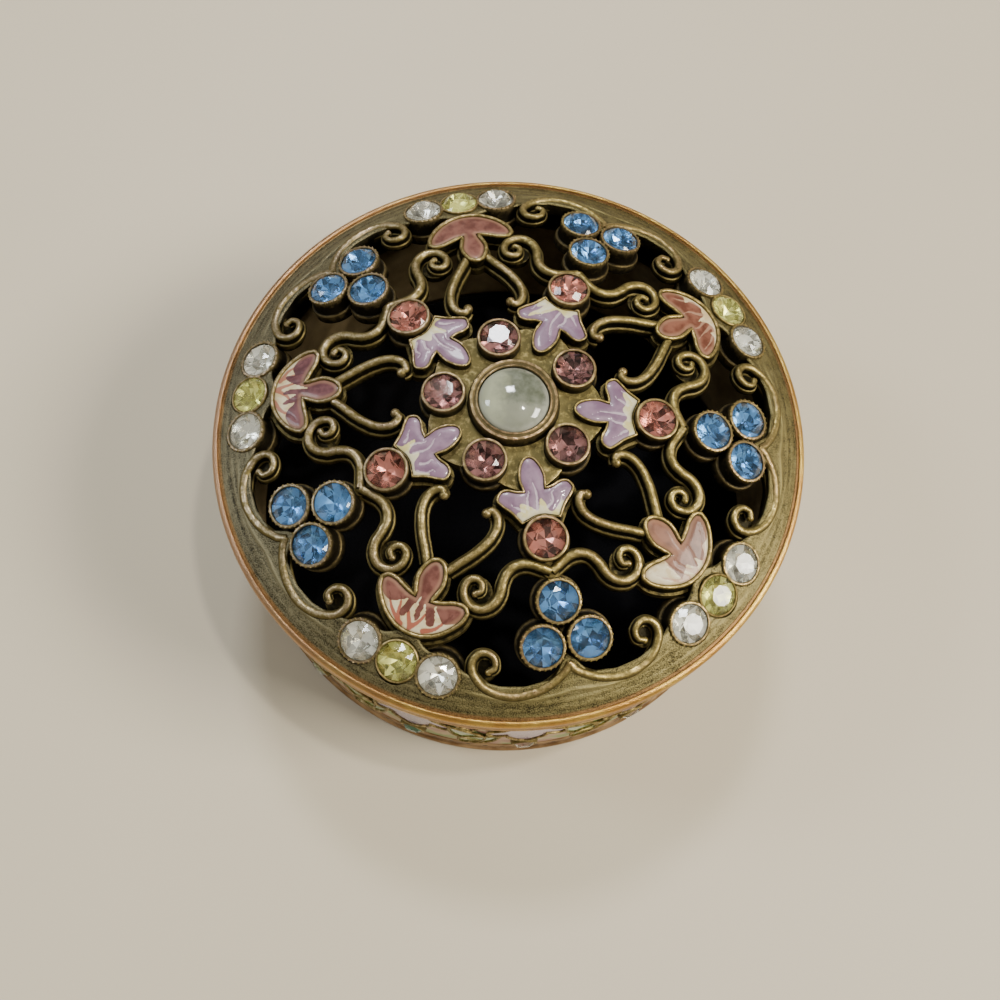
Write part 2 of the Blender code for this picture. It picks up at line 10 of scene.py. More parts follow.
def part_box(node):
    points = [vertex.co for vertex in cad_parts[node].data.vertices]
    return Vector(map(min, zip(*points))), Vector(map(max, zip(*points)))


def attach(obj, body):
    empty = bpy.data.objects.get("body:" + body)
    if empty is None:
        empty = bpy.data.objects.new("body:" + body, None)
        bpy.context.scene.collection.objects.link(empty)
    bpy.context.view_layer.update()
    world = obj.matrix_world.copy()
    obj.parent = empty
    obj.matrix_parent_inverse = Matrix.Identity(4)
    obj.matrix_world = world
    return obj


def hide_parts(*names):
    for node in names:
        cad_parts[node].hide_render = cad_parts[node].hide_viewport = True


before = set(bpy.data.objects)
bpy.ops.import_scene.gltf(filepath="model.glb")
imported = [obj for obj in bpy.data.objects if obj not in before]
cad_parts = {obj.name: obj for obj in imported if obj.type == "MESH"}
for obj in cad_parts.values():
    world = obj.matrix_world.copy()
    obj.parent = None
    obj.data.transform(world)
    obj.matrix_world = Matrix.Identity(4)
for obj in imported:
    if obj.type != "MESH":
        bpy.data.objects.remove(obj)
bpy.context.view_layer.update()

# Box body: a thin cup of turned brass with a copper-coloured bead along its foot and another
# under the lid. The wall between them is a sunk ground filled with patchy pink, cream and green enamel.
MM = 0.001
BOX_TOP = Vector(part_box("box_body")[1]).z
GROUND_RADIUS = 28.75 * MM
WALL_INSIDE = 27.9 * MM
BAND_HEIGHT = 2.6 * MM
ROUND_SIDES = 240
DOT_COUNT = 96
DOT_HEIGHT = 1.75 * MM
BOX_PROFILE = (
    (0.0, 0.0, 0.3), (28.5, 0.0, 0.6), (28.95, 0.08, 0.8), (29.15, 0.25, 1.0), (29.2, 0.5, 1.0),
    (29.15, 0.75, 1.0), (29.0, 0.92, 0.5), (28.88, 1.0, 0.2), (28.88, 2.5, 0.5), (28.84, 2.6, 0.8),
    (28.75, 2.65, 0.1), (28.75, 17.35, 0.1), (28.84, 17.4, 0.8), (28.88, 17.5, 0.5), (28.88, 18.45, 0.2),
    (29.0, 18.6, 0.5), (29.25, 18.85, 1.0), (29.35, 19.25, 1.0), (29.25, 19.7, 1.0), (29.0, 19.93, 0.9),
    (28.7, 20.0, 0.8), (28.05, 20.0, 0.8), (27.93, 19.93, 0.9), (27.9, 19.8, 0.5), (27.9, 1.9, 0.2),
    (27.7, 1.6, 0.0), (27.5, 1.5, 0.0), (0.0, 1.5, 0.0))


class Value:
    """A shader socket that works in Python sums; each operator adds its Math node."""

    def __init__(self, paint, socket):
        self.paint = paint
        self.socket = socket

    def __add__(self, other):
        return self.paint.sum("ADD", self, other)

    def __radd__(self, other):
        return self.paint.sum("ADD", other, self)

    def __sub__(self, other):
        return self.paint.sum("SUBTRACT", self, other)

    def __rsub__(self, other):
        return self.paint.sum("SUBTRACT", other, self)

    def __mul__(self, other):
        return self.paint.sum("MULTIPLY", self, other)

    def __rmul__(self, other):
        return self.paint.sum("MULTIPLY", other, self)


class Paint:
    """The nodes of one material."""

    def __init__(self, name):
        self.material = bpy.data.materials.new(name)
        self.material.use_nodes = True
        self.tree = self.material.node_tree
        self.shader = self.tree.nodes["Principled BSDF"]

    def feed(self, node, inputs):
        for key, value in inputs.items():
            if isinstance(value, Value):
                self.tree.links.new(value.socket, node.inputs[key])
            elif isinstance(value, tuple) and len(value) == 3 and len(node.inputs[key].default_value) == 4:
                node.inputs[key].default_value = (*value, 1.0)
            else:
                node.inputs[key].default_value = value

    def add(self, kind, settings, inputs, output=0):
        """Any node: its type, its settings, its inputs, and the output to go on with."""
        node = self.tree.nodes.new(kind)
        for key, value in settings.items():
            setattr(node, key, value)
        self.feed(node, inputs)
        return Value(self, node.outputs[output])

    def sum(self, operation, one, two):
        return self.add("ShaderNodeMath", {"operation": operation}, {0: one, 1: two})

    def coordinates(self):
        return self.add("ShaderNodeTexCoord", {}, {}, "Object")

    def attribute(self, name):
        return self.add("ShaderNodeAttribute", {"attribute_name": name}, {}, "Fac")

    def noise(self, size, detail=3.0, roughness=0.55, place=None):
        """Cloudy grey noise whose blotches are about the given size across."""
        place = place or self.coordinates()
        inputs = {"Vector": place, "Scale": 1.0 / size, "Detail": detail, "Roughness": roughness}
        return self.add("ShaderNodeTexNoise", {}, inputs, "Fac")

    def step(self, value, low, high):
        """Smooth step from 0 at low to 1 at high."""
        inputs = {"Value": value, "From Min": low, "From Max": high}
        return self.add("ShaderNodeMapRange", {"interpolation_type": "SMOOTHSTEP"}, inputs)

    def mix(self, factor, one, two):
        """Colour one where the factor is 0 and colour two where it is 1."""
        return self.add("ShaderNodeMix", {"data_type": "RGBA"}, {0: factor, 6: one, 7: two}, 2)

    def blend(self, value, low, high, one, two):
        """Colour one where the value is under low, running into colour two where it is over high."""
        return self.mix(self.step(value, low, high), one, two)

    def bump(self, height, distance, strength=1.0):
        inputs = {"Height": height, "Distance": distance, "Strength": strength}
        return self.add("ShaderNodeBump", {}, inputs)

    def radius(self):
        """Distance from the lid's axis."""
        inputs = {0: self.coordinates(), 1: (1.0, 1.0, 0.0)}
        flat = self.add("ShaderNodeVectorMath", {"operation": "MULTIPLY"}, inputs)
        return self.add("ShaderNodeVectorMath", {"operation": "LENGTH"}, {0: flat}, "Value")

    def part(self, axis):
        return self.add("ShaderNodeSeparateXYZ", {}, {0: self.coordinates()}, axis)

    def turn(self):
        """Angle about the lid's axis."""
        return self.sum("ARCTAN2", self.part("Y"), self.part("X"))

    def finish(self, **inputs):
        """Feed the shader; an underscore in a name stands for a space."""
        self.feed(self.shader, {key.replace("_", " "): value for key, value in inputs.items()})
        return self.material


def number_points(mesh, name, values, domain="POINT"):
    mesh.attributes.new(name, "FLOAT", domain).data.foreach_set("value", values)


def smoothed(mesh, sharp):
    """Shade the mesh smooth, but for edges sharper than the angle in degrees."""
    mesh.shade_smooth()
    mesh.set_sharp_from_angle(angle=math.radians(sharp))
    return mesh


def new_object(name, data):
    item = bpy.data.objects.new(name, data)
    bpy.context.collection.objects.link(item)
    return item


class Shape:
    """Vertices and faces gathered from several closed shells, with one number per vertex and name."""

    def __init__(self):
        self.vertices = []
        self.faces = []
        self.numbers = {}
        self.count = 0

    def add(self, vertices, faces, **numbers):
        self.vertices.append(np.asarray(vertices, dtype=float))
        self.faces += [[index + self.count for index in face] for face in faces]
        self.count += len(vertices)
        for name, values in numbers.items():
            values = np.broadcast_to(np.asarray(values, dtype=float), len(vertices))
            self.numbers.setdefault(name, []).append(values)

    def mesh(self, name, sharp):
        mesh = bpy.data.meshes.new(name)
        mesh.from_pydata(np.concatenate(self.vertices).tolist(), [], self.faces)
        for key, values in self.numbers.items():
            number_points(mesh, key, np.concatenate(values))
        mesh.validate()
        return smoothed(mesh, sharp)


def add_piece(name, mesh, material=None, node=None, sharp=38.0):
    """Put a finished mesh or shape on the box's one body, in place of a node where one is named."""
    if isinstance(mesh, Shape):
        mesh = mesh.mesh(name, sharp)
    if material:
        mesh.materials.clear()
        mesh.materials.append(material)
    piece = new_object(name, mesh)
    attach(piece, "root")
    if node:
        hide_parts(node)


def lathe(profile, sides=ROUND_SIDES, place=Matrix(), shape=None):
    """Turn (radius, height, wear) points, in mm, round the axis; they close on themselves or on it."""
    shape = shape or Shape()
    rings = []
    vertices = []
    wear = []
    for radius, height, worn in profile:
        across, up = radius * MM, height * MM
        steps = 1 if radius == 0.0 else sides
        rings.append([len(vertices) + k for k in range(steps)])
        for k in range(steps):
            angle = 2.0 * math.pi * k / sides
            vertices.append(place @ Vector((across * math.cos(angle), across * math.sin(angle), up)))
            wear.append(worn)
    on_axis = profile[0][0] == 0.0
    faces = []
    for low, high in zip(rings, rings[1:] + ([] if on_axis else rings[:1])):
        for k in range(sides):
            m = (k + 1) % sides
            face = [low[k % len(low)], low[m % len(low)], high[m % len(high)], high[k % len(high)]]
            faces.append(list(dict.fromkeys(face)))
    shape.add(vertices, faces, wear=wear)
    return shape


def copper_paint():
    """Copper-toned brass with a row of punched dots at the foot; patchy enamel on the sunk ground."""
    paint = Paint("copper_toned_brass")
    height = paint.part("Z")
    inside = 1.0 - paint.step(paint.radius(), WALL_INSIDE + 0.1 * MM, WALL_INSIDE + 0.4 * MM)
    upper_bead = paint.step(height, BOX_TOP - BAND_HEIGHT - 0.2 * MM, BOX_TOP - BAND_HEIGHT)
    in_ground = paint.step(height, BAND_HEIGHT, BAND_HEIGHT + 0.2 * MM) * (1.0 - upper_bead)
    blotch = paint.noise(2.5 * MM, 4.0)
    grain = paint.noise(0.22 * MM, 2.0)
    patch = paint.noise(4.0 * MM, 2.0)
    copper = paint.blend(blotch, 0.3, 0.7, (0.24, 0.14, 0.07), (0.5, 0.34, 0.19))
    ground = paint.blend(patch, 0.42, 0.5, (0.42, 0.2, 0.16), (0.5, 0.38, 0.22))
    ground = paint.blend(patch, 0.52, 0.6, ground, (0.24, 0.36, 0.1))
    ground = paint.mix(grain * 0.3, ground, (0.6, 0.5, 0.36))
    colour = paint.mix(in_ground, copper, ground)
    colour = paint.mix(inside, colour, paint.mix(blotch, (0.16, 0.11, 0.05), (0.5, 0.38, 0.2)))
    across = paint.sum("PINGPONG", paint.turn() * (DOT_COUNT / math.pi), 1.0)
    along = (height - DOT_HEIGHT) * (DOT_COUNT / math.pi / GROUND_RADIUS)
    square = (1.0 - across) * (1.0 - across) + along * along
    dot = (1.0 - paint.step(square, 0.05, 0.12)) * (1.0 - inside)
    colour = paint.mix(dot, colour, (0.03, 0.02, 0.012))
    bump = paint.bump(grain * 0.6 - dot * 2.0, 0.06 * MM, 0.7)
    return paint.finish(Base_Color=colour, Metallic=1.0 - dot * 0.6 - in_ground * 0.75,
                        Roughness=0.28 + blotch * 0.25, Normal=bump)


add_piece("box_wall", lathe(BOX_PROFILE), copper_paint(), node="box_body")

# Wall flowers: fifteen hanging lilac flowers with green leaves and pink buds between them. Each is
# fired inside a fence of thin brass wire that stands on the sunk ground of the wall.
MOTIFS = 15
MOTIF_START = math.radians(-104.0)
MOTIF_PITCH = 2.0 * math.pi * GROUND_RADIUS / MOTIFS
ENAMEL_SPACING = 0.22 * MM
WALL_ENAMEL_RISE = 0.28 * MM
WALL_WIRE = 0.14 * MM
WALL_FLOWER = ((0.0, 3.6), (1.5, 3.5), (2.3, 2.2), (3.9, 0.6), (3.7, -1.3), (2.0, -0.7), (1.8, -2.3),
               (0.0, -4.4))
WALL_LEAF = ((0.0, -3.0), (1.2, -1.3), (1.3, 0.4), (0.6, 2.1), (0.0, 3.3))
WALL_BUD = ((0.0, -1.6), (0.95, -0.4), (0.7, 0.9), (0.0, 1.7))
# Name, half outline and its corners, share of the pitch, shift and height in mm, lean, size, then the
# enamel's name, its deep, pale and edge colours, the heights it runs between, and the slot.
WALL_ENAMELS = (
    ("wall_flowers", WALL_FLOWER, (2, 5, 9, 12), 0.0, 0.0, 11.9, 0.0, 1.0, "lilac_wall_enamel",
     (0.2, 0.1, 0.27), (0.34, 0.2, 0.36), (0.5, 0.4, 0.34), 8 * MM, 15 * MM, "lavender_enamel"),
    ("wall_leaves_left", WALL_LEAF, (0, 4), 0.5, -0.2, 9.6, 28.0, 1.15, "deep_green_enamel",
     (0.2, 0.38, 0.06), (0.01, 0.15, 0.07), (0.32, 0.44, 0.14), 7 * MM, 13 * MM, "lavender_enamel"),
    ("wall_leaves_right", WALL_LEAF, (0, 4), 0.5, 1.1, 7.4, -36.0, 1.15, "yellow_green_enamel",
     (0.36, 0.46, 0.05), (0.08, 0.3, 0.07), (0.42, 0.44, 0.14), 4 * MM, 10 * MM, "lavender_enamel"),
    ("wall_buds", WALL_BUD, (0, 3), 0.5, -0.2, 14.6, 20.0, 1.0, "pink_wall_enamel",
     (0.42, 0.16, 0.2), (0.6, 0.34, 0.36), (0.8, 0.66, 0.6), 13 * MM, 16 * MM, "rose_enamel"))


def smooth_curve(points, steps, closed=False, corners=()):
    """Curve through every point, with a kink at the corners' numbers."""
    points = [Vector(point) for point in points]
    count = len(points)
    spans = count if closed else count - 1
    result = []
    for i in range(spans):
        before, here, there, after = (points[(i + k) % count] for k in (-1, 0, 1, 2))
        if (not closed and i == 0) or i in corners:
            before = here * 2 - there
        if (not closed and i == spans - 1) or (i + 1) % count in corners:
            after = there * 2 - here
        for k in range(steps):
            t = k / steps
            one = (there - before) * 0.5
            two = (after - here) * 0.5
            result.append(here * (2 * t ** 3 - 3 * t ** 2 + 1) + one * (t ** 3 - 2 * t ** 2 + t)
                          + there * (3 * t ** 2 - 2 * t ** 3) + two * (t ** 3 - t ** 2))
    if not closed:
        result.append(points[-1])
    return result


def mirror_outline(half, middle=()):
    """Close a half outline that runs along one side with its mirror image."""
    right = [Vector(point) for point in half]
    left = [Vector((-point.x, point.y)) for point in right[::-1] if abs(point.x) > 1e-4]
    return right + [Vector(point) for point in middle] + left


def wound_left(outline):
    area = sum(outline[i - 1].cross(outline[i]) for i in range(len(outline)))
    return outline if area > 0 else outline[::-1]


def grown(outline, distance):
    """Outline moved outwards all along."""
    result = []
    for i, corner in enumerate(outline):
        before = (corner - outline[i - 1]).normalized()
        after = (outline[(i + 1) % len(outline)] - corner).normalized()
        along = (before + after).normalized()
        result.append(corner + Vector((along.y, -along.x)) * distance / max(along.dot(before), 0.7))
    return result


def edge_distance(points, outline):
    """Distance of each point from the outline."""
    starts = np.array([tuple(point) for point in outline])
    spans = np.roll(starts, -1, axis=0) - starts
    offset = points[:, None, :] - starts[None]
    share = np.clip((offset * spans).sum(2) / (spans ** 2).sum(1), 0.0, 1.0)
    return np.linalg.norm(offset - share[..., None] * spans, axis=2).min(1)


def slab(outline, spacing, top, bottom):
    """Closed pad over a plan outline: plan points, heights, faces, depth from the edge, 1 on top."""
    outline = wound_left(outline)
    edge = len(outline)
    corners = np.array([tuple(point) for point in outline])
    low, high = corners.min(0), corners.max(0)
    grid = []
    row = 0
    y = low[1]
    while y < high[1]:
        x = low[0] + (row % 2) * spacing / 2
        while x < high[0]:
            grid.append((x, y))
            x += spacing
        y += spacing * 0.87
        row += 1
    grid = np.array(grid).reshape(-1, 2)
    grid = grid[edge_distance(grid, outline) > spacing * 0.6]
    points = [Vector(point) for point in corners.tolist() + grid.tolist()]
    plan, _, triangles, _, _, _ = delaunay_2d_cdt(points, [], [list(range(edge))], 1, 1e-9)
    used = sorted({index for triangle in triangles for index in triangle} | set(range(edge)))
    number = {index: k for k, index in enumerate(used)}
    flat = np.array([tuple(plan[index]) for index in used])
    triangles = [[number[index] for index in triangle] for triangle in triangles]
    count = len(used)
    depth = edge_distance(flat, outline)
    faces = triangles + [[count + index for index in triangle[::-1]] for triangle in triangles]
    faces += [[i, count + i, count + (i + 1) % edge, (i + 1) % edge] for i in range(edge)]
    heights = np.concatenate([top(flat, depth), bottom(flat, depth)])
    upper = np.repeat([1.0, 0.0], count)
    return np.concatenate([flat, flat]), heights, faces, np.concatenate([depth, depth * 0.0]), upper


def on_wall(plan, heights):
    """Bend plan points (distance along the wall, height) onto the wall."""
    angle = plan[:, 0] / GROUND_RADIUS
    radius = GROUND_RADIUS + heights
    return np.stack([radius * np.cos(angle), radius * np.sin(angle), plan[:, 1]], axis=1)


def node_tree(name, part):
    """Geometry Nodes tree that takes a mesh, an object called part and a material; it ends in Realize
    Instances and Set Material. Returns the tree, the group input, the object's node, the node to link
    the result to, and the named inputs' identifiers."""
    tree = bpy.data.node_groups.new(name, "GeometryNodeTree")
    named = {}
    for key, way, kind in (("Geometry", "INPUT", "Geometry"), ("Geometry", "OUTPUT", "Geometry"),
                           (part, "INPUT", "Object"), ("Material", "INPUT", "Material")):
        socket = tree.interface.new_socket(key, in_out=way, socket_type=f"NodeSocket{kind}")
        named[key] = socket.identifier
    entry, leave, source, real, painted = (tree.nodes.new(kind) for kind in (
        "NodeGroupInput", "NodeGroupOutput", "GeometryNodeObjectInfo", "GeometryNodeRealizeInstances",
        "GeometryNodeSetMaterial"))
    link_nodes(tree, (entry, part, source, "Object"), (real, "Geometry", painted, "Geometry"),
               (entry, "Material", painted, "Material"), (painted, "Geometry", leave, "Geometry"))
    return tree, entry, source, real, named


def link_nodes(tree, *links):
    for source, output, target, entry in links:
        tree.links.new(source.outputs[output], target.inputs[entry])


def sweep_tree():
    """Sweep a profile with upright sides along strands, narrowing with their taper."""
    tree, entry, source, real, named = node_tree("swept_wire", "Profile")
    strand, section, upright, sweep, taper = (tree.nodes.new(f"GeometryNode{kind}") for kind in (
        "MeshToCurve", "MeshToCurve", "SetCurveNormal", "CurveToMesh", "InputNamedAttribute"))
    upright.mode = "Z_UP"
    taper.inputs["Name"].default_value = "taper"
    sweep.inputs["Fill Caps"].default_value = True
    link_nodes(tree, (entry, "Geometry", strand, "Mesh"), (strand, "Curve", upright, "Curve"),
               (upright, "Curve", sweep, "Curve"), (source, "Geometry", section, "Mesh"),
               (section, "Curve", sweep, "Profile Curve"), (taper, "Attribute", sweep, "Scale"),
               (sweep, "Mesh", real, "Geometry"))
    return tree, named


def run_tree(mesh, tree, settings):
    """Run a Geometry Nodes tree on a mesh and return the result as a plain mesh."""
    carrier = new_object("carrier", mesh)
    modifier = carrier.modifiers.new("nodes", "NODES")
    modifier.node_group = tree
    for identifier, value in settings.items():
        modifier[identifier] = value
    bpy.context.view_layer.update()
    evaluated = carrier.evaluated_get(bpy.context.evaluated_depsgraph_get())
    result = bpy.data.meshes.new_from_object(evaluated)
    carrier.modifiers.remove(modifier)
    bpy.data.objects.remove(carrier, do_unlink=True)
    return result


def strand_mesh(name, strands):
    """Loose edges along strands, each (points, whether it closes, taper at each point)."""
    points, edges, tapers = [], [], []
    for path, closed, taper in strands:
        first = len(points)
        points += [tuple(point) for point in path]
        tapers += list(taper)
        edges += [(first + k, first + k + 1) for k in range(len(path) - 1)]
        if closed:
            edges.append((first + len(path) - 1, first))
    mesh = bpy.data.meshes.new(name)
    mesh.from_pydata(points, edges, [])
    number_points(mesh, "taper", tapers)
    return mesh


def profile_object(name, points):
    """Closed profile of a sweep from (across, up, wear) points; the sweep's own Y points down."""
    mesh = bpy.data.meshes.new(name)
    edges = [(k, (k + 1) % len(points)) for k in range(len(points))]
    mesh.from_pydata([(across, -up, 0.0) for across, up, _ in points], edges, [])
    number_points(mesh, "wear", [worn for _, _, worn in points])
    return new_object(name, mesh)


SWEEP, SWEEP_INPUTS = sweep_tree()


def swept(name, strands, profile, material, sharp=38.0):
    """Piece of swept wire; its profile object is only a tool and is removed."""
    section = profile_object(f"{name}_profile", profile)
    mesh = run_tree(strand_mesh(name, strands), SWEEP,
                    {SWEEP_INPUTS["Profile"]: section, SWEEP_INPUTS["Material"]: material})
    bpy.data.objects.remove(section, do_unlink=True)
    cleaned = bmesh.new()
    cleaned.from_mesh(mesh)
    bmesh.ops.recalc_face_normals(cleaned, faces=cleaned.faces)
    cleaned.to_mesh(mesh)
    cleaned.free()
    add_piece(name, smoothed(mesh, sharp))


def wire_profile(width, low, high):
    """Round-topped wire between two heights."""
    half = width / 2
    points = [(-half, low, 0.1), (half, low, 0.1)]
    for k in range(7):
        angle = math.pi * k / 6
        rise = math.sin(angle)
        points.append((half * math.cos(angle), high - half + half * rise, 0.25 + 0.75 * rise))
    return points


def wall_enamel_paint(name, deep, pale, base, lowest, highest):
    """Enamel that runs from a deep colour to a pale one up the wall, streaked."""
    paint = Paint(name)
    height = paint.step(paint.part("Z"), lowest, highest)
    streak = paint.noise(0.9 * MM, 4.0)
    colour = paint.blend(height + (streak - 0.5) * 0.9, 0.2, 0.85, deep, pale)
    edge = 1.0 - paint.step(paint.attribute("depth"), 0.1 * MM, 0.45 * MM)
    colour = paint.mix(edge * 0.55, colour, base)
    bump = paint.bump(streak, 0.03 * MM, 0.5)
    return paint.finish(Base_Color=colour, Roughness=0.16 + streak * 0.12, Coat_Weight=0.6, Normal=bump)


def brass_paint(name, bright, rosy, dark, rough):
    """Antiqued brass: bright where hands have rubbed it, dark olive in the hollows, and a painted cool light
    that turns the rubbed metal greyer towards the left.
    """
    paint = Paint(name)
    blotch = paint.noise(9.0 * MM, 4.0)
    cloud = paint.noise(0.55 * MM, 4.0)
    grain = paint.noise(0.13 * MM, 2.0)
    wear = paint.attribute("wear") + (cloud - 0.5) * 1.0 + (grain - 0.5) * 0.35
    rubbed = paint.step(wear, 0.74, 1.28)
    metal = paint.blend(blotch, 0.42, 0.62, bright, rosy)
    # Painted light: a cool light from the left, painted as a greyer silver on the rubbed metal.
    painted_cool_light_left = 1.0 - paint.step(paint.part("X"), -26.0 * MM, 8.0 * MM)
    metal = paint.mix(painted_cool_light_left * 0.75, metal, (0.52, 0.43, 0.34))
    colour = paint.blend(wear, 0.15, 0.6, dark, paint.mix(0.2, dark, bright))
    colour = paint.mix(rubbed, colour, metal)
    bump = paint.bump(cloud + grain * 0.15, 0.085 * MM, 0.9)
    roughness = rough + 0.28 * (1.0 - rubbed) + 0.1 * grain
    return paint.finish(Base_Color=colour, Metallic=0.8 + rubbed * 0.2, Roughness=roughness, Normal=bump)


DARK_BRASS = (0.014, 0.011, 0.003)
BRASS = brass_paint("antique_brass_worn", (0.68, 0.51, 0.16), (0.6, 0.42, 0.19), DARK_BRASS, 0.21)


def wall_pad_height(flat, deep):
    return WALL_ENAMEL_RISE * (0.75 + 0.25 * np.minimum(deep / (0.5 * MM), 1.0))


def constant_height(height):
    return lambda flat, deep: np.full(len(flat), height)


wall_wires = []
for name, half, kinks, share, shift, height, lean, size, enamel, *look, slot in WALL_ENAMELS:
    pads = Shape()
    turn = Matrix.Rotation(math.radians(lean), 2)
    for motif in range(MOTIFS):
        across = MOTIF_START * GROUND_RADIUS + MOTIF_PITCH * (motif + share) + shift * MM
        outline = [Vector((across, height * MM)) + turn @ point * MM * size
                   for point in smooth_curve(mirror_outline(half), 4, True, kinks)]
        plan, heights, faces, depth, _ = slab(outline, ENAMEL_SPACING, wall_pad_height,
                                              constant_height(-0.1 * MM))
        pads.add(on_wall(plan, heights), faces, depth=depth)
        ring = np.array([tuple(point) for point in grown(wound_left(outline), WALL_WIRE / 2)])
        wall_wires.append(on_wall(ring, np.full(len(ring), WALL_ENAMEL_RISE)))
    add_piece(name, pads, wall_enamel_paint(enamel, *look), sharp=50.0)
round_wire = [(WALL_WIRE * math.cos(math.pi * k / 4), WALL_WIRE * math.sin(math.pi * k / 4), 0.9)
              for k in range(8)]
swept("wall_wires", [([Vector(point) for point in ring], True, [1.0] * len(ring)) for ring in wall_wires],
      round_wire, BRASS, 60.0)

# Wall crystals: small faceted glass stones in low cups near the foot, one under each lilac flower.
# Most are clear and two in fifteen are teal.
WALL_CRYSTAL_HEIGHT = 5.4 * MM
WALL_CRYSTAL_OUT = 0.35 * MM
WALL_CRYSTAL_SIZE = 1.15 / 1.86
TEAL_CRYSTALS = (0, 7)
STONE_RADIUS = 1.86 * MM
TABLE_SHARE = 0.56
GIRDLE_SHARE = 0.79
CROWN_HEIGHT = 0.65 * MM
PAVILION_DEPTH = 1.15 * MM
GLASS_FACETS = 49
STONE_FACETS = 81
CUP_PROFILE = ((1.5, -0.5, 0.2), (1.45, -0.05, 0.6), (1.32, 0.12, 1.0), (1.18, 0.1, 1.0), (1.1, -0.05, 0.4),
               (1.0, -0.5, 0.0))


def brilliant(shape, place, radius=STONE_RADIUS):
    """Round stone with an eight-sided table, stars, kites, a girdle and a two-stage pointed back."""
    size = radius / STONE_RADIUS
    points = []
    for count, share, height, shift in (
            (8, TABLE_SHARE, CROWN_HEIGHT, 0.0), (8, GIRDLE_SHARE, 0.6 * CROWN_HEIGHT, 0.5),
            (16, 1.0, 0.0, 0.0), (16, 1.0, -0.08 * MM, 0.0), (8, 0.44, -0.66 * PAVILION_DEPTH, 0.0)):
        for k in range(count):
            angle = 2.0 * math.pi / count * (k + shift)
            reach = STONE_RADIUS * share
            points.append((reach * math.cos(angle), reach * math.sin(angle), height))
    points.append((0.0, 0.0, -PAVILION_DEPTH))
    upper, girdle, under, lower, tip = 8, 16, 32, 48, 56
    faces = [list(range(8))]
    for k in range(8):
        here, there = girdle + 2 * k, girdle + (2 * k + 2) % 16
        faces += [[k, upper + k, (k + 1) % 8], [k, upper + (k - 1) % 8, here, upper + k],
                  [upper + k, here, here + 1], [upper + k, here + 1, there]]
    for k in range(16):
        n = (k + 1) % 16
        faces.append([girdle + k, under + k, under + n, girdle + n])
    for k in range(8):
        n = (k + 1) % 8
        start, middle, end = under + 2 * k, under + 2 * k + 1, under + (2 * k + 2) % 16
        faces += [[start, lower + k, middle], [middle, lower + n, end], [middle, lower + k, lower + n],
                  [lower + k, tip, lower + n]]
    scale = Matrix.Diagonal((size, size, size, 1.0))
    shape.add([place @ scale @ Vector(point) for point in points], faces)


def stone_mesh(name, shape, paints, seed=1):
    """Flat-shaded stones whose pointed backs are foiled; every facet carries a random number for the foil's
    painted reflection brightness.
    """
    mesh = shape.mesh(name, 0.1)
    mesh.shade_flat()
    for material in paints:
        mesh.materials.append(material)
    number_points(mesh, "facet", np.random.default_rng(seed).uniform(0.0, 1.0, len(mesh.polygons)), "FACE")
    for polygon in mesh.polygons:
        polygon.material_index = 1 if polygon.index % STONE_FACETS >= GLASS_FACETS else 0
    return mesh


def stone_paints(name, glass_colour, foil_colour, darkest_reflection_share, milky):
    """Clear tinted glass for the crown and its mirror-bright foil back, whose facets carry painted
    reflections, some dark and some bright.
    """
    glass = Paint(f"{name}_glass")
    speck = glass.noise(0.6 * MM, 2.0)
    glass.finish(Base_Color=glass_colour, Roughness=0.02 + speck * 0.05, IOR=1.56,
                 Transmission_Weight=1.0)
    foil = Paint(f"{name}_foil")
    age = foil.noise(0.8 * MM, 3.0)
    facet = foil.attribute("facet")
    # Painted reflection: each foil facet is painted darker or brighter at random, standing in for the
    # flashes and dark facets of a real stone.
    painted_dark_reflection = tuple(channel * darkest_reflection_share for channel in foil_colour)
    colour = foil.blend(facet + (age - 0.5) * 0.5, 0.1, 0.75, painted_dark_reflection, foil_colour)
    foil.finish(Base_Color=colour, Metallic=0.95 - milky * foil.step(facet, 0.5, 0.8),
                Roughness=0.1 + age * 0.16)
    return glass.material, foil.material


def wall_place(motif):
    """Frame of a crystal on the wall, with its Z pointing outwards."""
    angle = MOTIF_START + 2.0 * math.pi * motif / MOTIFS
    outward = Vector((math.cos(angle), math.sin(angle), 0.0))
    side = Vector((-math.sin(angle), math.cos(angle), 0.0))
    turn = Matrix((side, Vector((0, 0, 1)), outward)).transposed().to_4x4()
    middle = outward * (GROUND_RADIUS + WALL_CRYSTAL_OUT) + Vector((0, 0, WALL_CRYSTAL_HEIGHT))
    return Matrix.Translation(middle) @ turn


cups = Shape()
crystals = {"clear": Shape(), "teal": Shape()}
for motif in range(MOTIFS):
    colour = "teal" if motif in TEAL_CRYSTALS else "clear"
    brilliant(crystals[colour], wall_place(motif), STONE_RADIUS * WALL_CRYSTAL_SIZE)
    lathe(CUP_PROFILE, 28, wall_place(motif), cups)
for colour, glass, foil in (("teal", (0.1, 0.5, 0.42), (0.5, 0.8, 0.72)),
                            ("clear", (0.95, 0.94, 0.86), (0.86, 0.86, 0.78))):
    name = f"wall_crystals_{colour}"
    paints = stone_paints(colour, glass, foil, 0.3, 0.5)
    add_piece(name, stone_mesh(name, crystals[colour], paints))
add_piece("wall_cups", cups, BRASS)

# Floor lining: a loose disc of black velvet, cut a little smaller than the floor. Its nap is short,
# so it only shows as a soft edge and a faint sheen.
LINING_HIGH = Vector(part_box("floor_lining")[1])


def velvet_paint():
    paint = Paint("black_velvet_pile")
    nap = paint.noise(0.25 * MM, 3.0)
    brushed = paint.noise(7.0 * MM, 2.0)
    colour = paint.mix(brushed, (0.002, 0.002, 0.003), (0.008, 0.008, 0.01))
    bump = paint.bump(nap, 0.15 * MM, 0.8)
    return paint.finish(Base_Color=colour, Roughness=0.95, Specular_IOR_Level=0.1, Sheen_Weight=0.12,
                        Sheen_Roughness=0.4, Normal=bump)


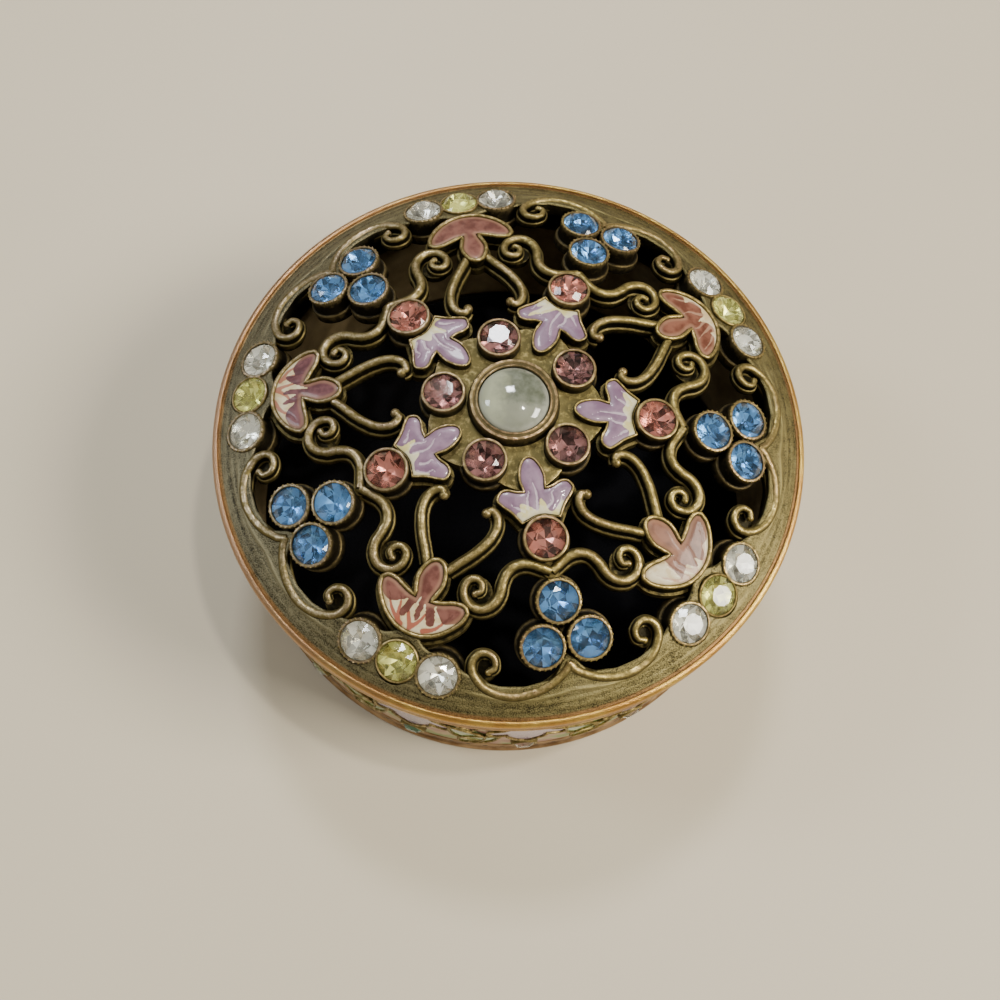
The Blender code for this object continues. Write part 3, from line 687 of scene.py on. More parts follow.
top = LINING_HIGH.z / MM
edge = LINING_HIGH.x / MM
lining = lathe([(radius, height, 0.0) for radius, height in (
    (0.0, top - 1.0), (edge - 0.3, top - 1.0), (edge, top - 0.7), (edge, top - 0.35),
    (edge - 0.35, top - 0.05), (edge - 1.2, top), (0.0, top - 0.05))])
add_piece("velvet_disc", lining, velvet_paint(), "floor_lining")

# Lid band: the solid outer ring of the cast lid, with a copper-bright bead along its edge, fine turned
# grooves inside the bead, and a skirt underneath that drops into the box.
LID_LOW, LID_HIGH = (Vector(corner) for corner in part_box("lid"))
LID_RADIUS = LID_HIGH.x
RIM_HEIGHT = 2.2 * MM
SKIRT_DEPTH = 1.6 * MM
LID_EDGE = LID_LOW.z + RIM_HEIGHT + SKIRT_DEPTH
DOME_RISE = 7.05 * MM
DOME_POWER = 2.45
PLATE = 2.0 * MM
FOLD = 5
BAND_SIDES = 900
BAND_START = 27.2 * MM
BAND_ROWS = (20, 44)
LAND_START = 29.1 * MM
BEAD_START = 29.4 * MM
STONE_POCKET = 1.45 * MM
# Degrees from the middle of a sector, and the inner edge of the band there in mm
OPENING = ((0.0, 24.0), (4.4, 25.9), (9.44, 26.4), (14.65, 26.4), (20.0, 25.9), (24.6, 25.1), (29.86, 24.6),
           (36.0, 23.4))
# Radius, height under the lid's edge and wear of the band's side, underside and skirt
BAND_SIDE = ((30.0, 0.0, 0.9), (29.98, -0.35, 0.75), (29.9, -0.7, 0.5), (29.88, -1.5, 0.5),
             (29.95, -1.9, 0.8), (29.9, -2.15, 0.9), (29.7, -2.2, 0.7), (27.75, -2.2, 0.1),
             (27.6, -2.35, 0.2), (27.6, -3.65, 0.4), (27.45, -3.8, 0.6), (27.0, -3.8, 0.6),
             (26.85, -3.65, 0.4), (26.8, -1.2, 0.1))
YELLOW_RING = 26.4 * MM
RAYS = [2.0 * math.pi * fold / FOLD for fold in range(FOLD)]
HALF_SECTOR = math.pi / FOLD
TRIPLE_TURN = 2.0 * math.asin(2.0 * MM / YELLOW_RING)


def dome(radius):
    """Height of the lid's plate above the floor the box stands on."""
    return LID_EDGE + DOME_RISE * (1.0 - np.minimum(radius / LID_RADIUS, 1.0) ** DOME_POWER)


def dome_slope(radius):
    return DOME_RISE * DOME_POWER / LID_RADIUS * (radius / LID_RADIUS) ** (DOME_POWER - 1.0)


def from_ray(angle):
    """Degrees from the middle of the nearest sector."""
    return math.degrees(abs((angle + HALF_SECTOR) % (2.0 * HALF_SECTOR) - HALF_SECTOR))


def opening_radius(angle):
    """Inner edge of the band by the angle from the x axis; it repeats and mirrors."""
    turn = from_ray(angle)
    for (low, one), (high, two) in zip(OPENING, OPENING[1:]):
        if low <= turn <= high:
            share = (turn - low) / (high - low)
            if low == OPENING[0][0] or high == OPENING[-1][0]:
                share = share * share * (3.0 - 2.0 * share)
            return (one + (two - one) * share) * MM
    return OPENING[-1][1] * MM


def band_relief(radius):
    """Grooves, copper land and bead of the band over the dome, and how worn each is."""
    r = radius / MM
    if radius > BEAD_START:
        rise = math.sqrt(max(0.0, 1.0 - ((r - 29.7) / 0.3) ** 2))
        return (0.05 + 0.24 * rise) * MM, 0.6 + 0.4 * rise
    if radius > LAND_START:
        return 0.0, 0.35
    if radius > BAND_START:
        wave = math.sin((r - 27.2) / 0.62 * 2.0 * math.pi) * math.sin((r - 27.2) / 1.9 * math.pi)
        return (-0.09 + 0.014 * wave) * MM, 0.42 + 0.05 * wave
    return -0.1 * MM, 0.42


def flow_ridge(angle, radius):
    """Faint second ridge that follows the opening from cusp to cusp."""
    turn = from_ray(angle)
    middle = 27.15 + 0.5 * min(turn / 7.0, 1.0) - 0.5 * max(turn - 14.0, 0.0) / 8.0
    fade = min(max((24.0 - turn) / 8.0, 0.0), 1.0)
    return 0.07 * MM * fade * math.exp(-((radius / MM - middle) / 0.14) ** 2)


def low_stone_centres():
    """Plan centres of the three stones set in the band at every outer flower."""
    angles = [ray + HALF_SECTOR + side * TRIPLE_TURN for ray in RAYS for side in (-1, 0, 1)]
    return [Vector((math.cos(angle), math.sin(angle))) * YELLOW_RING for angle in angles]


def stone_dent(point, centres):
    """Depth of the pocket under a low stone."""
    nearest = min((point - centre).length for centre in centres)
    return STONE_POCKET * (1.0 - min(max((nearest - 1.75 * MM) / (0.25 * MM), 0.0), 1.0))


def band_shape():
    """The band column by column: over the dome, down its side, and back up the skirt."""
    shape = Shape()
    centres = low_stone_centres()
    inner, outer = BAND_ROWS
    vertices, wear, rings = [], [], []
    for k in range(BAND_SIDES):
        angle = 2.0 * math.pi * k / BAND_SIDES
        facing = (math.cos(angle), math.sin(angle))
        edge = opening_radius(angle)
        column = [(edge + (BAND_START - edge) * (j / inner) ** 1.2) for j in range(inner)]
        column += [BAND_START + (LID_RADIUS - BAND_START) * j / outer for j in range(outer)]
        points = []
        for radius in column:
            rise, worn = band_relief(radius)
            flat = Vector((radius * facing[0], radius * facing[1]))
            rounded = 0.18 * MM * max(0.0, 1.0 - (radius - edge) / (0.3 * MM)) ** 2
            ridge = flow_ridge(angle, radius)
            height = float(dome(radius)) + rise + ridge - rounded - stone_dent(flat, centres)
            points.append((radius, height, worn + ridge * 5000.0))
        points += [(radius * MM, LID_EDGE + height * MM, worn) for radius, height, worn in BAND_SIDE]
        for radius in (26.4 * MM if edge < 26.3 * MM else edge + 0.05 * MM, edge):
            points.append((radius, float(dome(radius)) - PLATE, 0.1))
        rings.append(range(len(vertices), len(vertices) + len(points)))
        vertices += [(radius * facing[0], radius * facing[1], height) for radius, height, _ in points]
        wear += [worn for _, _, worn in points]
    faces = []
    for one, two in zip(rings, rings[1:] + rings[:1]):
        for j in range(len(one)):
            n = (j + 1) % len(one)
            faces.append([one[j], one[n], two[n], two[j]])
    shape.add(vertices, faces, wear=wear)
    return shape


def band_paint():
    """Olive bronze on the band, turning to copper and gold on its outer land and bead. Painted light turns
    the olive greyer towards the left, and paints the bead gold towards the right and pinker copper on the
    left.
    """
    paint = Paint("olive_bronze_band")
    radius = paint.radius()
    blotch = paint.noise(4.0 * MM, 4.0)
    cloud = paint.noise(0.8 * MM, 4.0)
    grain = paint.noise(0.12 * MM, 2.0)
    drawn = paint.add("ShaderNodeCombineXYZ", {}, {"X": radius, "Y": paint.turn() * 0.0016})
    streak = paint.noise(0.42 * MM, 4.0, place=drawn)
    wear = paint.attribute("wear") + (cloud - 0.5) * 0.45 + (streak - 0.5) * 0.5 + (grain - 0.5) * 1.1
    olive = paint.blend(wear, 0.1, 0.65, (0.02, 0.016, 0.006), (0.225, 0.185, 0.072))
    olive = paint.mix(paint.step(blotch + (streak - 0.5) * 0.5, 0.5, 0.75) * 0.4, olive, (0.31, 0.27, 0.13))
    # Painted light: a cool light from the left, painted as a greyer olive.
    painted_cool_light_left = 1.0 - paint.step(paint.part("X"), -28.0 * MM, 6.0 * MM)
    grey = paint.blend(wear, 0.1, 0.65, (0.024, 0.022, 0.016), (0.2, 0.185, 0.135))
    olive = paint.mix(painted_cool_light_left * 0.6, olive, grey)
    gold = paint.blend(blotch, 0.4, 0.6, (0.5, 0.27, 0.07), (0.68, 0.45, 0.11))
    # Painted light: the bead is painted gold towards the warm key light on the right and pinker copper on
    # the left.
    gold = paint.blend(paint.part("X"), -26.0 * MM, 2.0 * MM, (0.36, 0.22, 0.13), gold)
    land = paint.blend(wear, 0.0, 0.5, (0.06, 0.035, 0.014), (0.3, 0.17, 0.065))
    colour = paint.blend(radius, LAND_START - 0.15 * MM, LAND_START + 0.1 * MM, olive, land)
    bright = paint.step(radius, BEAD_START - 0.1 * MM, BEAD_START + 0.05 * MM) * paint.step(wear, 0.5, 0.9)
    colour = paint.mix(bright, colour, gold)
    bump = paint.bump(cloud * 0.5 + grain * 0.8 + streak * 0.6, 0.08 * MM, 0.8)
    return paint.finish(Base_Color=colour, Metallic=0.85 + bright * 0.15,
                        Roughness=0.4 - bright * 0.14 + grain * 0.12, Normal=bump)


add_piece("lid_band", band_shape(), band_paint(), node="lid", sharp=50.0)

# Lid scrolls: long arms, branching scrolls and edge scrolls, all of one casting with the band. Each
# is a round-topped wire that rides on a wider flange, and the curls thin out towards their ends.
FLANGE_DROP = 1.0 * MM
SCROLL_TOP = 0.12 * MM
LONG_ARM = ((9.5, 14.75), (8.0, 14.2), (7.0, 13.85), (6.0, 13.4), (5.0, 12.8), (4.3, 12.1), (3.95, 11.4),
            (3.92, 10.7), (4.25, 10.2), (4.8, 10.3))
BRANCH = ((0.0, 16.7), (0.9, 16.15), (2.0, 15.6), (3.1, 15.55), (4.0, 16.0), (4.6, 16.8), (5.1, 17.8),
          (5.9, 18.5), (6.9, 18.7), (7.8, 18.3), (8.3, 17.5), (8.25, 16.6), (7.7, 15.95), (6.95, 15.95),
          (6.55, 16.5), (6.75, 17.15), (7.3, 17.25))
EDGE_SCROLL = ((0.0, 24.9), (0.5, 25.45), (1.1, 25.85), (2.0, 26.3), (3.0, 26.6), (4.2, 26.75), (5.4, 26.7),
               (6.6, 26.35), (7.7, 25.7), (8.5, 24.8), (8.9, 23.8), (8.7, 22.9), (8.0, 22.4), (7.2, 22.55),
               (6.7, 23.2), (6.85, 23.95), (7.45, 24.15))
# Name, path, where its taper starts and what is left at the end, wire, flange, and size of the end's ball
SCROLLS = (("long_arms", LONG_ARM, 0.8, 0.85, 0.86 * MM, 1.4 * MM, 1.0),
           ("branch_scrolls", BRANCH, 0.45, 0.62, 0.96 * MM, 1.45 * MM, 0.72),
           ("edge_scrolls", EDGE_SCROLL, 0.5, 0.62, 0.94 * MM, 1.45 * MM, 0.72))


def turned(points, angle):
    """Turn plan points whose ray points up so that the ray lies at the angle."""
    turn = Matrix.Rotation(angle - math.pi / 2, 2)
    return [turn @ Vector(point) for point in points]


def on_dome(points, offset):
    return [Vector((point.x, point.y, float(dome(point.length)) + offset)) for point in points]


def ten_times(points):
    """The ten copies of plan points given in mm beside a ray: five turned, each with its mirror image."""
    return [turned([Vector((side * point[0] * MM, point[1] * MM)) for point in points], ray)
            for ray in RAYS for side in (1, -1)]


def flanged_profile(width, flange):
    """Round-topped wire on a wider flange that reaches down through the casting."""
    half, wide = width / 2, flange / 2
    points = [(-wide, -PLATE, 0.1), (wide, -PLATE, 0.1), (wide, -FLANGE_DROP - 0.1 * MM, 0.7),
              (wide - 0.1 * MM, -FLANGE_DROP, 0.6), (half + 0.05 * MM, -FLANGE_DROP + 0.02 * MM, 0.0),
              (half, -half, 0.1)]
    for k in range(9):
        angle = math.pi * k / 8
        rise = math.sin(angle)
        points.append((half * math.cos(angle), half * 0.9 * (rise - 1.0), 0.15 + 0.85 * rise))
    points += [(-half, -half, 0.1), (-half - 0.05 * MM, -FLANGE_DROP + 0.02 * MM, 0.0),
               (-wide + 0.1 * MM, -FLANGE_DROP, 0.6), (-wide, -FLANGE_DROP - 0.1 * MM, 0.7)]
    return points


SCROLL_BRASS = brass_paint("scroll_brass", (0.64, 0.49, 0.16), (0.56, 0.39, 0.18), DARK_BRASS, 0.19)
for name, path, start, end, wire, flange, _ in SCROLLS:
    curve = smooth_curve(path, 7)
    shares = [k / (len(curve) - 1) for k in range(len(curve))]
    taper = [1.0 + (end - 1.0) * max(share - start, 0.0) / (1.0 - start) for share in shares]
    swept(name, [(on_dome(line, SCROLL_TOP), False, taper) for line in ten_times(curve)],
          flanged_profile(wire, flange), SCROLL_BRASS)


def scatter_tree():
    """Put a copy of one object on every point, turned to face the point's own direction."""
    tree, entry, source, real, named = node_tree("set_on_points", "Piece")
    facing, size, turn, scatter = (tree.nodes.new(kind) for kind in (
        "GeometryNodeInputNamedAttribute", "GeometryNodeInputNamedAttribute",
        "FunctionNodeAlignRotationToVector", "GeometryNodeInstanceOnPoints"))
    facing.data_type = "FLOAT_VECTOR"
    facing.inputs["Name"].default_value = "facing"
    size.inputs["Name"].default_value = "size"
    turn.axis = "Z"
    link_nodes(tree, (entry, "Geometry", scatter, "Points"), (source, "Geometry", scatter, "Instance"),
               (facing, "Attribute", turn, "Vector"), (turn, "Rotation", scatter, "Rotation"),
               (size, "Attribute", scatter, "Scale"), (scatter, "Instances", real, "Geometry"))
    return tree, named


SCATTER, SCATTER_INPUTS = scatter_tree()


def scattered(name, model, places, material, sharp=38.0):
    """Copies of a model mesh at (point, facing, size) places, as one piece."""
    points = bpy.data.meshes.new(name)
    points.from_pydata([tuple(point) for point, _, _ in places], [], [])
    facing = points.attributes.new("facing", "FLOAT_VECTOR", "POINT")
    facing.data.foreach_set("vector", [value for _, direction, _ in places for value in direction])
    number_points(points, "size", [size for _, _, size in places])
    source = new_object(f"{name}_model", model)
    mesh = run_tree(points, SCATTER, {SCATTER_INPUTS["Piece"]: source, SCATTER_INPUTS["Material"]: material})
    bpy.data.objects.remove(source, do_unlink=True)
    add_piece(name, smoothed(mesh, sharp))


def outward_normal(point):
    slope = float(dome_slope(point.length))
    flat = point.normalized() if point.length > 0.0 else Vector((0.0, 0.0))
    return Vector((flat.x * slope, flat.y * slope, 1.0)).normalized()


def ball_mesh(name, radius, worn):
    ball = bmesh.new()
    bmesh.ops.create_uvsphere(ball, u_segments=10, v_segments=6, radius=radius)
    mesh = bpy.data.meshes.new(name)
    ball.to_mesh(mesh)
    ball.free()
    number_points(mesh, "wear", [worn] * len(mesh.vertices))
    return mesh


ball_places = []
for _, path, _, _, _, _, size in SCROLLS:
    for tip, in ten_times(path[-1:]):
        place = Vector((tip.x, tip.y, float(dome(tip.length)) - 0.3 * MM))
        ball_places.append((place, outward_normal(tip), size))
scattered("scroll_balls", ball_mesh("scroll_ball", 0.5 * MM, 0.95), ball_places, SCROLL_BRASS, 80.0)

# Hub and flanges: the sunk web between the middle bezels, and the ledges that carry the flower cells.
# They are the low parts of the same casting, rough from the mould and never polished.
BEZEL_RADIUS = 2.35 * MM
AMETHYST_RING = 6.8 * MM
PINK_RING = 13.9 * MM
ROSE_BASE = 23.93 * MM
HUB_NOTCH = (2.57, 7.9)
HUB_UNDER_BUD = (0.0, 9.0)
BUD_HALF = ((0.0, 5.8), (0.62, 6.1), (1.08, 6.95), (1.28, 8.0), (1.1, 9.05), (1.7, 8.95), (2.55, 8.62),
            (3.3, 8.75), (3.72, 9.5), (3.3, 10.2), (2.6, 10.95), (1.85, 12.15))
ROSE_HALF = ((0.0, -7.2), (0.72, -6.9), (1.22, -6.1), (1.42, -5.1), (1.2, -4.1), (1.0, -3.55), (1.9, -3.85),
             (2.9, -4.25), (3.9, -4.3), (4.5, -3.8), (4.35, -2.9), (3.75, -1.9), (2.8, -0.95), (1.6, -0.25),
             (0.5, 0.0))
CURL_WEBS = ((7.1, 17.0, 1.5 * MM), (7.6, 23.5, 1.15 * MM), (0.0, 16.5, 1.0 * MM))
FORK_WEB = (0.0, 16.5, 0.8 * MM)
FLANGE_MARGIN = 0.32 * MM
BUD_CORNERS = (4, 11)
ROSE_CORNERS = (5, 9)


def flower_plan(half, middle, corners):
    """Closed smooth outline of a flower in mm, with a kink at the corners' numbers on both sides."""
    outline = mirror_outline(half, middle)
    kinks = set(corners) | {(len(outline) - corner) % len(outline) for corner in corners}
    return smooth_curve(outline, 4, True, kinks)


def bud_plan():
    """Bud outline with its ray up, hollowed by the pink stone's bezel."""
    reach = BEZEL_RADIUS / MM - 0.1
    end = math.acos((PINK_RING / MM - BUD_HALF[-1][1]) / reach)
    hollow = [(reach * math.sin(end * share), PINK_RING / MM - reach * math.cos(end * share))
              for share in (0.66, 0.33, 0.0, -0.33, -0.66)]
    return [point * MM for point in flower_plan(BUD_HALF, hollow, BUD_CORNERS)]


def rose_plan():
    """Rose outline with its ray up."""
    lift = Vector((0.0, ROSE_BASE))
    return [point * MM + lift for point in flower_plan(ROSE_HALF, (), ROSE_CORNERS)]


def lay_on_dome(plan, heights):
    """Heights over the dome, as points in space."""
    radius = np.linalg.norm(plan, axis=1)
    return np.column_stack([plan, dome(radius) + heights])


def flat_pad(shape, outline, spacing, top, bottom, worn):
    """Plain pad of the casting between two offsets from the dome."""
    plan, heights, faces, depth, _ = slab(
        outline, spacing, lambda flat, deep: np.full(len(flat), top) - 0.08 * MM * (deep < 1e-6),
        constant_height(bottom))
    shape.add(lay_on_dome(plan, heights), faces, wear=np.where(depth > 1e-6, worn, worn + 0.3))


def round_outline(middle, radius, sides):
    angles = [2.0 * math.pi * k / sides for k in range(sides)]
    return [middle + Vector((math.cos(angle), math.sin(angle))) * radius for angle in angles]


flanges = Shape()
for ray in RAYS:
    for outline, angle in ((bud_plan(), ray), (rose_plan(), ray + HALF_SECTOR)):
        ledge = grown(wound_left(turned(outline, angle)), FLANGE_MARGIN)
        flat_pad(flanges, ledge, 0.5 * MM, -FLANGE_DROP, -PLATE, 0.2)
for across, up, radius in CURL_WEBS:
    for middle, in ten_times([(across, up)]):
        web = round_outline(middle, radius, 24)
        flat_pad(flanges, web, 0.5 * MM, -FLANGE_DROP - 0.1 * MM, -PLATE, 0.1)
for middle, in ten_times([FORK_WEB[:2]])[::2]:
    flat_pad(flanges, round_outline(middle, FORK_WEB[2], 16), 0.5 * MM, -0.35 * MM, -PLATE, 0.5)
add_piece("flower_flanges", flanges, SCROLL_BRASS)

hub_corners = []
for ray in RAYS:
    amethyst = turned([(0.0, AMETHYST_RING / MM + 0.6)], math.pi / 2 - HALF_SECTOR)[0]
    corners = [amethyst, Vector(HUB_NOTCH), Vector(HUB_UNDER_BUD), Vector((-HUB_NOTCH[0], HUB_NOTCH[1]))]
    hub_corners += [point * MM for point in turned(corners, ray)]
hub = Shape()
flat_pad(hub, smooth_curve(hub_corners, 4, True), 0.35 * MM, -0.6 * MM, -PLATE, 0.8)
HUB_BRASS = brass_paint("gilt_hub_brass", (0.62, 0.5, 0.18), (0.45, 0.34, 0.12), (0.02, 0.016, 0.005), 0.3)
add_piece("hub_web", hub, HUB_BRASS)

# Flower cells and enamel: thin brass walls cast on the lid, filled with opaque enamel and fired. The
# five buds are lavender running into cream, the five outer flowers dusty rose with red and white flames.
BUD_WALL = 0.26 * MM
ROSE_WALL = 0.44 * MM
CELL_TOP = 0.3 * MM
ENAMEL_TOP = 0.2 * MM
FLOWER_SPACING = 0.16 * MM
BUD_STROKES = (
    ((0.1, 10.9), (-0.15, 9.6), (0.15, 8.4), (0.5, 7.6)),
    ((0.9, 10.8), (0.95, 10.0), (0.7, 9.3), (0.85, 8.8)),
    ((-1.0, 10.9), (-1.5, 10.3), (-1.4, 9.8), (-2.0, 9.5)),
    ((1.5, 11.0), (1.9, 10.5), (2.3, 10.3), (2.6, 9.8)),
    ((-1.6, 11.3), (-2.2, 10.8), (-2.4, 10.2), (-2.9, 10.0)))
ROSE_STROKES = (
    ((0.05, -0.5), (-0.5, -1.4), (-0.95, -2.5), (-0.9, -3.8)),
    ((0.1, -0.6), (0.6, -1.5), (0.95, -2.5), (0.8, -3.6)),
    ((1.1, -0.6), (2.0, -1.3), (2.8, -2.3), (3.4, -3.4)),
    ((-1.2, -0.6), (-2.0, -1.4), (-2.8, -2.4), (-3.5, -3.5)),
    ((1.2, -0.7), (1.5, -1.5), (1.7, -2.3), (2.0, -3.2)))
BUD_FLAMES = (-1.7, -0.5, 0.6, 1.8)
ROSE_FLAMES = (-2.6, -0.9, 0.2, 1.2, 2.7)
# Thickness of the strokes, heart and radius of the arc where the pale base starts, all in mm, and flames
BUD_BRUSH = (0.13, (0.0, PINK_RING / MM), -2.3, BUD_FLAMES)
ROSE_BRUSH = (0.2, (0.0, -4.6), 4.3, ROSE_FLAMES)
BUD_REACH = 1.8
BARE_ROSE = 4
# Reach of the white base, strength of the red in it, and lean of the petals towards mauve
ROSE_MOODS = ((1.1, 0.1, 0.2), (0.0, 0.0, 0.5), (2.3, 0.8, 1.0), (2.9, 0.9, 0.5), (1.1, 0.5, 0.0))


def stroke_mask(plan, strokes, thick, rng):
    """How much of each brush stroke covers each point: 1 inside, 0 outside, thinning towards its tip."""
    mask = np.zeros(len(plan))
    for stroke in strokes:
        bent = [Vector(point) + Vector(rng.uniform(-0.14, 0.14, 2).tolist()) for point in stroke]
        line = np.array([tuple(point) for point in smooth_curve(bent, 8)])
        share = np.linspace(0.0, 1.0, len(line))
        distance = np.linalg.norm(plan[:, None, :] - line[None], axis=2) / (thick * (1.2 - share))
        mask = np.maximum(mask, np.clip(1.6 - distance.min(1), 0.0, 1.0))
    return mask


def flame_mask(plan, heart, arc, tongues, reach, rng):
    """1 in the pale base along an arc about the heart, and in the tongues that lick away from it."""
    away = plan - np.array(heart)
    distance = np.linalg.norm(away, axis=1)
    deep = np.where(away[:, 1] > 0.0, arc - distance, arc + distance)
    side = np.arctan2(away[:, 0], abs(away[:, 1])) * abs(arc)
    height = np.full(len(plan), 0.22)
    for tongue in tongues:
        middle = tongue + rng.uniform(-0.3, 0.3) + deep * rng.uniform(-0.25, 0.25)
        wide = rng.uniform(0.22, 0.55)
        height += rng.uniform(0.35, 0.9) * np.exp(-((side - middle) / wide) ** 2)
    height *= np.clip((4.6 - abs(side)) / 1.4, 0.0, 1.0)
    return np.clip((reach * height - deep) / 0.25 + 0.5, 0.0, 1.0)


def bare_petal(shape, angle):
    """1 on the side petal that has lost its colour."""
    plan = shape.vertices[0][:, :2] @ np.array(Matrix.Rotation(math.pi / 2 - angle, 2)).T / MM
    return np.clip((plan[:, 0] - 1.5) / 0.4, 0.0, 1.0)


def enamel_height(flat, deep):
    """Fired enamel, a little rounded along its edge."""
    crown = np.minimum(deep / (0.6 * MM), 1.0)
    return ENAMEL_TOP - 0.1 * MM + 0.1 * MM * crown * (2.0 - crown)


def flower_enamel(outline, angle, base, wall, strokes, brush, reach, seed):
    """Enamel of one flower with masks for its pale base and its brush strokes, and its edge's ring."""
    rng = np.random.default_rng(seed)
    thick, heart, arc, tongues = brush
    laid = grown(wound_left(turned(outline, angle)), -0.85 * wall)
    underside = constant_height(-0.45 * MM)
    plan, heights, faces, depth, upper = slab(laid, FLOWER_SPACING, enamel_height, underside)
    back = np.array(Matrix.Rotation(math.pi / 2 - angle, 2))
    local = (plan @ back.T) / MM - np.array([0.0, base])
    stroked = stroke_mask(local, strokes, thick, rng)
    pale = flame_mask(local, heart, arc, tongues, reach, rng) * min(reach, 1.0)
    heights = heights - 0.04 * MM * stroked * upper * (depth > 0.2 * MM)
    shape = Shape()
    shape.add(lay_on_dome(plan, heights), faces, pale=pale, stroked=stroked, depth=depth)
    return shape, laid


def enamel_finish(paint, colour, rim, widest, edge_colour, fine, stroke, **gloss):
    """Dark rim where the enamel meets its wire, then a fired gloss with the strokes slightly sunk."""
    edge = 1.0 - paint.step(paint.attribute("depth"), 0.02 * MM, widest)
    colour = paint.mix(edge * rim, colour, edge_colour)
    bump = paint.bump(fine * 0.4 + stroke * 0.5, 0.035 * MM, 0.5)
    return paint.finish(Base_Color=colour, Normal=bump, **gloss)


def bud_paint():
    """Lavender with a cream base, cream tongues and a few thin white strokes."""
    paint = Paint("lavender_cream_enamel")
    cloud = paint.noise(1.2 * MM, 4.0)
    fine = paint.noise(0.3 * MM, 3.0)
    lavender = paint.blend(cloud, 0.35, 0.65, (0.16, 0.088, 0.148), (0.235, 0.142, 0.212))
    cream = paint.blend(cloud, 0.4, 0.6, (0.57, 0.5, 0.19), (0.62, 0.57, 0.38))
    pale = paint.step(paint.attribute("pale") + (fine - 0.5) * 0.3, 0.35, 0.65)
    stroke = paint.step(paint.attribute("stroked") + (fine - 0.5) * 0.4, 0.45, 0.85)
    colour = paint.mix(stroke * 0.8, lavender, (0.5, 0.41, 0.46))
    colour = paint.mix(pale, colour, paint.mix(stroke * 0.6, cream, (0.66, 0.63, 0.52)))
    return enamel_finish(paint, colour, 0.25, 0.2 * MM, (0.2, 0.15, 0.12), fine, stroke,
                         Roughness=0.3 + fine * 0.15, Coat_Weight=0.2 + cloud * 0.1)


def rose_paint():
    """Dusty rose petals with pale borders, and on some flowers a white base with red flames."""
    paint = Paint("dusty_rose_enamel")
    cloud = paint.noise(1.2 * MM, 4.0)
    fine = paint.noise(0.3 * MM, 3.0)
    mauve = paint.attribute("mauve")
    deep = paint.mix(mauve, (0.12, 0.038, 0.017), (0.08, 0.027, 0.032))
    light = paint.mix(mauve, (0.23, 0.092, 0.05), (0.165, 0.067, 0.072))
    rose = paint.blend(cloud, 0.35, 0.65, deep, light)
    stroke = paint.step(paint.attribute("stroked") + (fine - 0.5) * 0.4, 0.4, 0.8)
    red = paint.attribute("red")
    streak = paint.blend(red, 0.1, 0.3, (0.42, 0.25, 0.16), deep)
    colour = paint.mix(stroke * paint.step(red, 0.0, 0.1) * 0.65, rose, streak)
    border = 1.0 - paint.step(paint.attribute("depth") + (fine - 0.5) * 0.2 * MM, 0.15 * MM, 0.5 * MM)
    colour = paint.mix(border * 0.4, colour, (0.38, 0.22, 0.13))
    pale = paint.step(paint.attribute("pale") + (fine - 0.5) * 0.3, 0.3, 0.6)
    white = paint.blend(cloud, 0.4, 0.6, (0.56, 0.44, 0.23), (0.66, 0.58, 0.39))
    flame = paint.mix(stroke * red, white, (0.31, 0.062, 0.038))
    colour = paint.mix(pale, colour, flame)
    return enamel_finish(paint, colour, 0.4, 0.16 * MM, (0.16, 0.09, 0.05), fine, stroke,
                         Roughness=0.32 + fine * 0.15, Coat_Weight=0.1 + cloud * 0.08,
                         Specular_IOR_Level=0.32)


def cell_strands(rings, wall):
    """Closed wire rings laid on the dome outside the enamel, low where they meet a pink stone's collar."""
    stones = [turned([Vector((0.0, PINK_RING))], ray)[0] for ray in RAYS]
    strands = []
    for ring in rings:
        line = grown(ring, wall / 2)
        near = [min((point - stone).length for stone in stones) < 2.45 * MM for point in line]
        strands.append((on_dome(line, 0.0), True, [0.3 if low else 1.0 for low in near]))
    return strands


BUD_ENAMEL, ROSE_ENAMEL = bud_paint(), rose_paint()
bud_rings, rose_rings = [], []
for fold, ray in enumerate(RAYS):
    reach, red, mauve = ROSE_MOODS[fold]
    shape, ring = flower_enamel(bud_plan(), ray, 0.0, BUD_WALL, BUD_STROKES, BUD_BRUSH, BUD_REACH, fold + 3)
    node = f"bud_enamel_{fold + 1}"
    add_piece(f"bud_enamel_fired_{fold + 1}", shape, BUD_ENAMEL, node, 50.0)
    bud_rings.append(ring)
    across = ray + HALF_SECTOR
    shape, ring = flower_enamel(rose_plan(), across, ROSE_BASE / MM, ROSE_WALL, ROSE_STROKES, ROSE_BRUSH,
                                reach, fold + 11)
    if fold == BARE_ROSE:
        shape.numbers["pale"][0] = np.maximum(shape.numbers["pale"][0], bare_petal(shape, across))
    shape.numbers["red"] = [np.full(shape.count, red)]
    shape.numbers["mauve"] = [np.full(shape.count, mauve)]
    node = f"rose_enamel_{fold + 1}"
    add_piece(f"rose_enamel_fired_{fold + 1}", shape, ROSE_ENAMEL, node, 50.0)
    rose_rings.append(ring)
for name, rings, wall, rise in (("bud_cell_walls", bud_rings, BUD_WALL, -0.02 * MM),
                                ("rose_cell_walls", rose_rings, ROSE_WALL, 0.04 * MM)):
    swept(name, cell_strands(rings, wall), wire_profile(wall, -1.2 * MM, CELL_TOP + rise), BRASS)

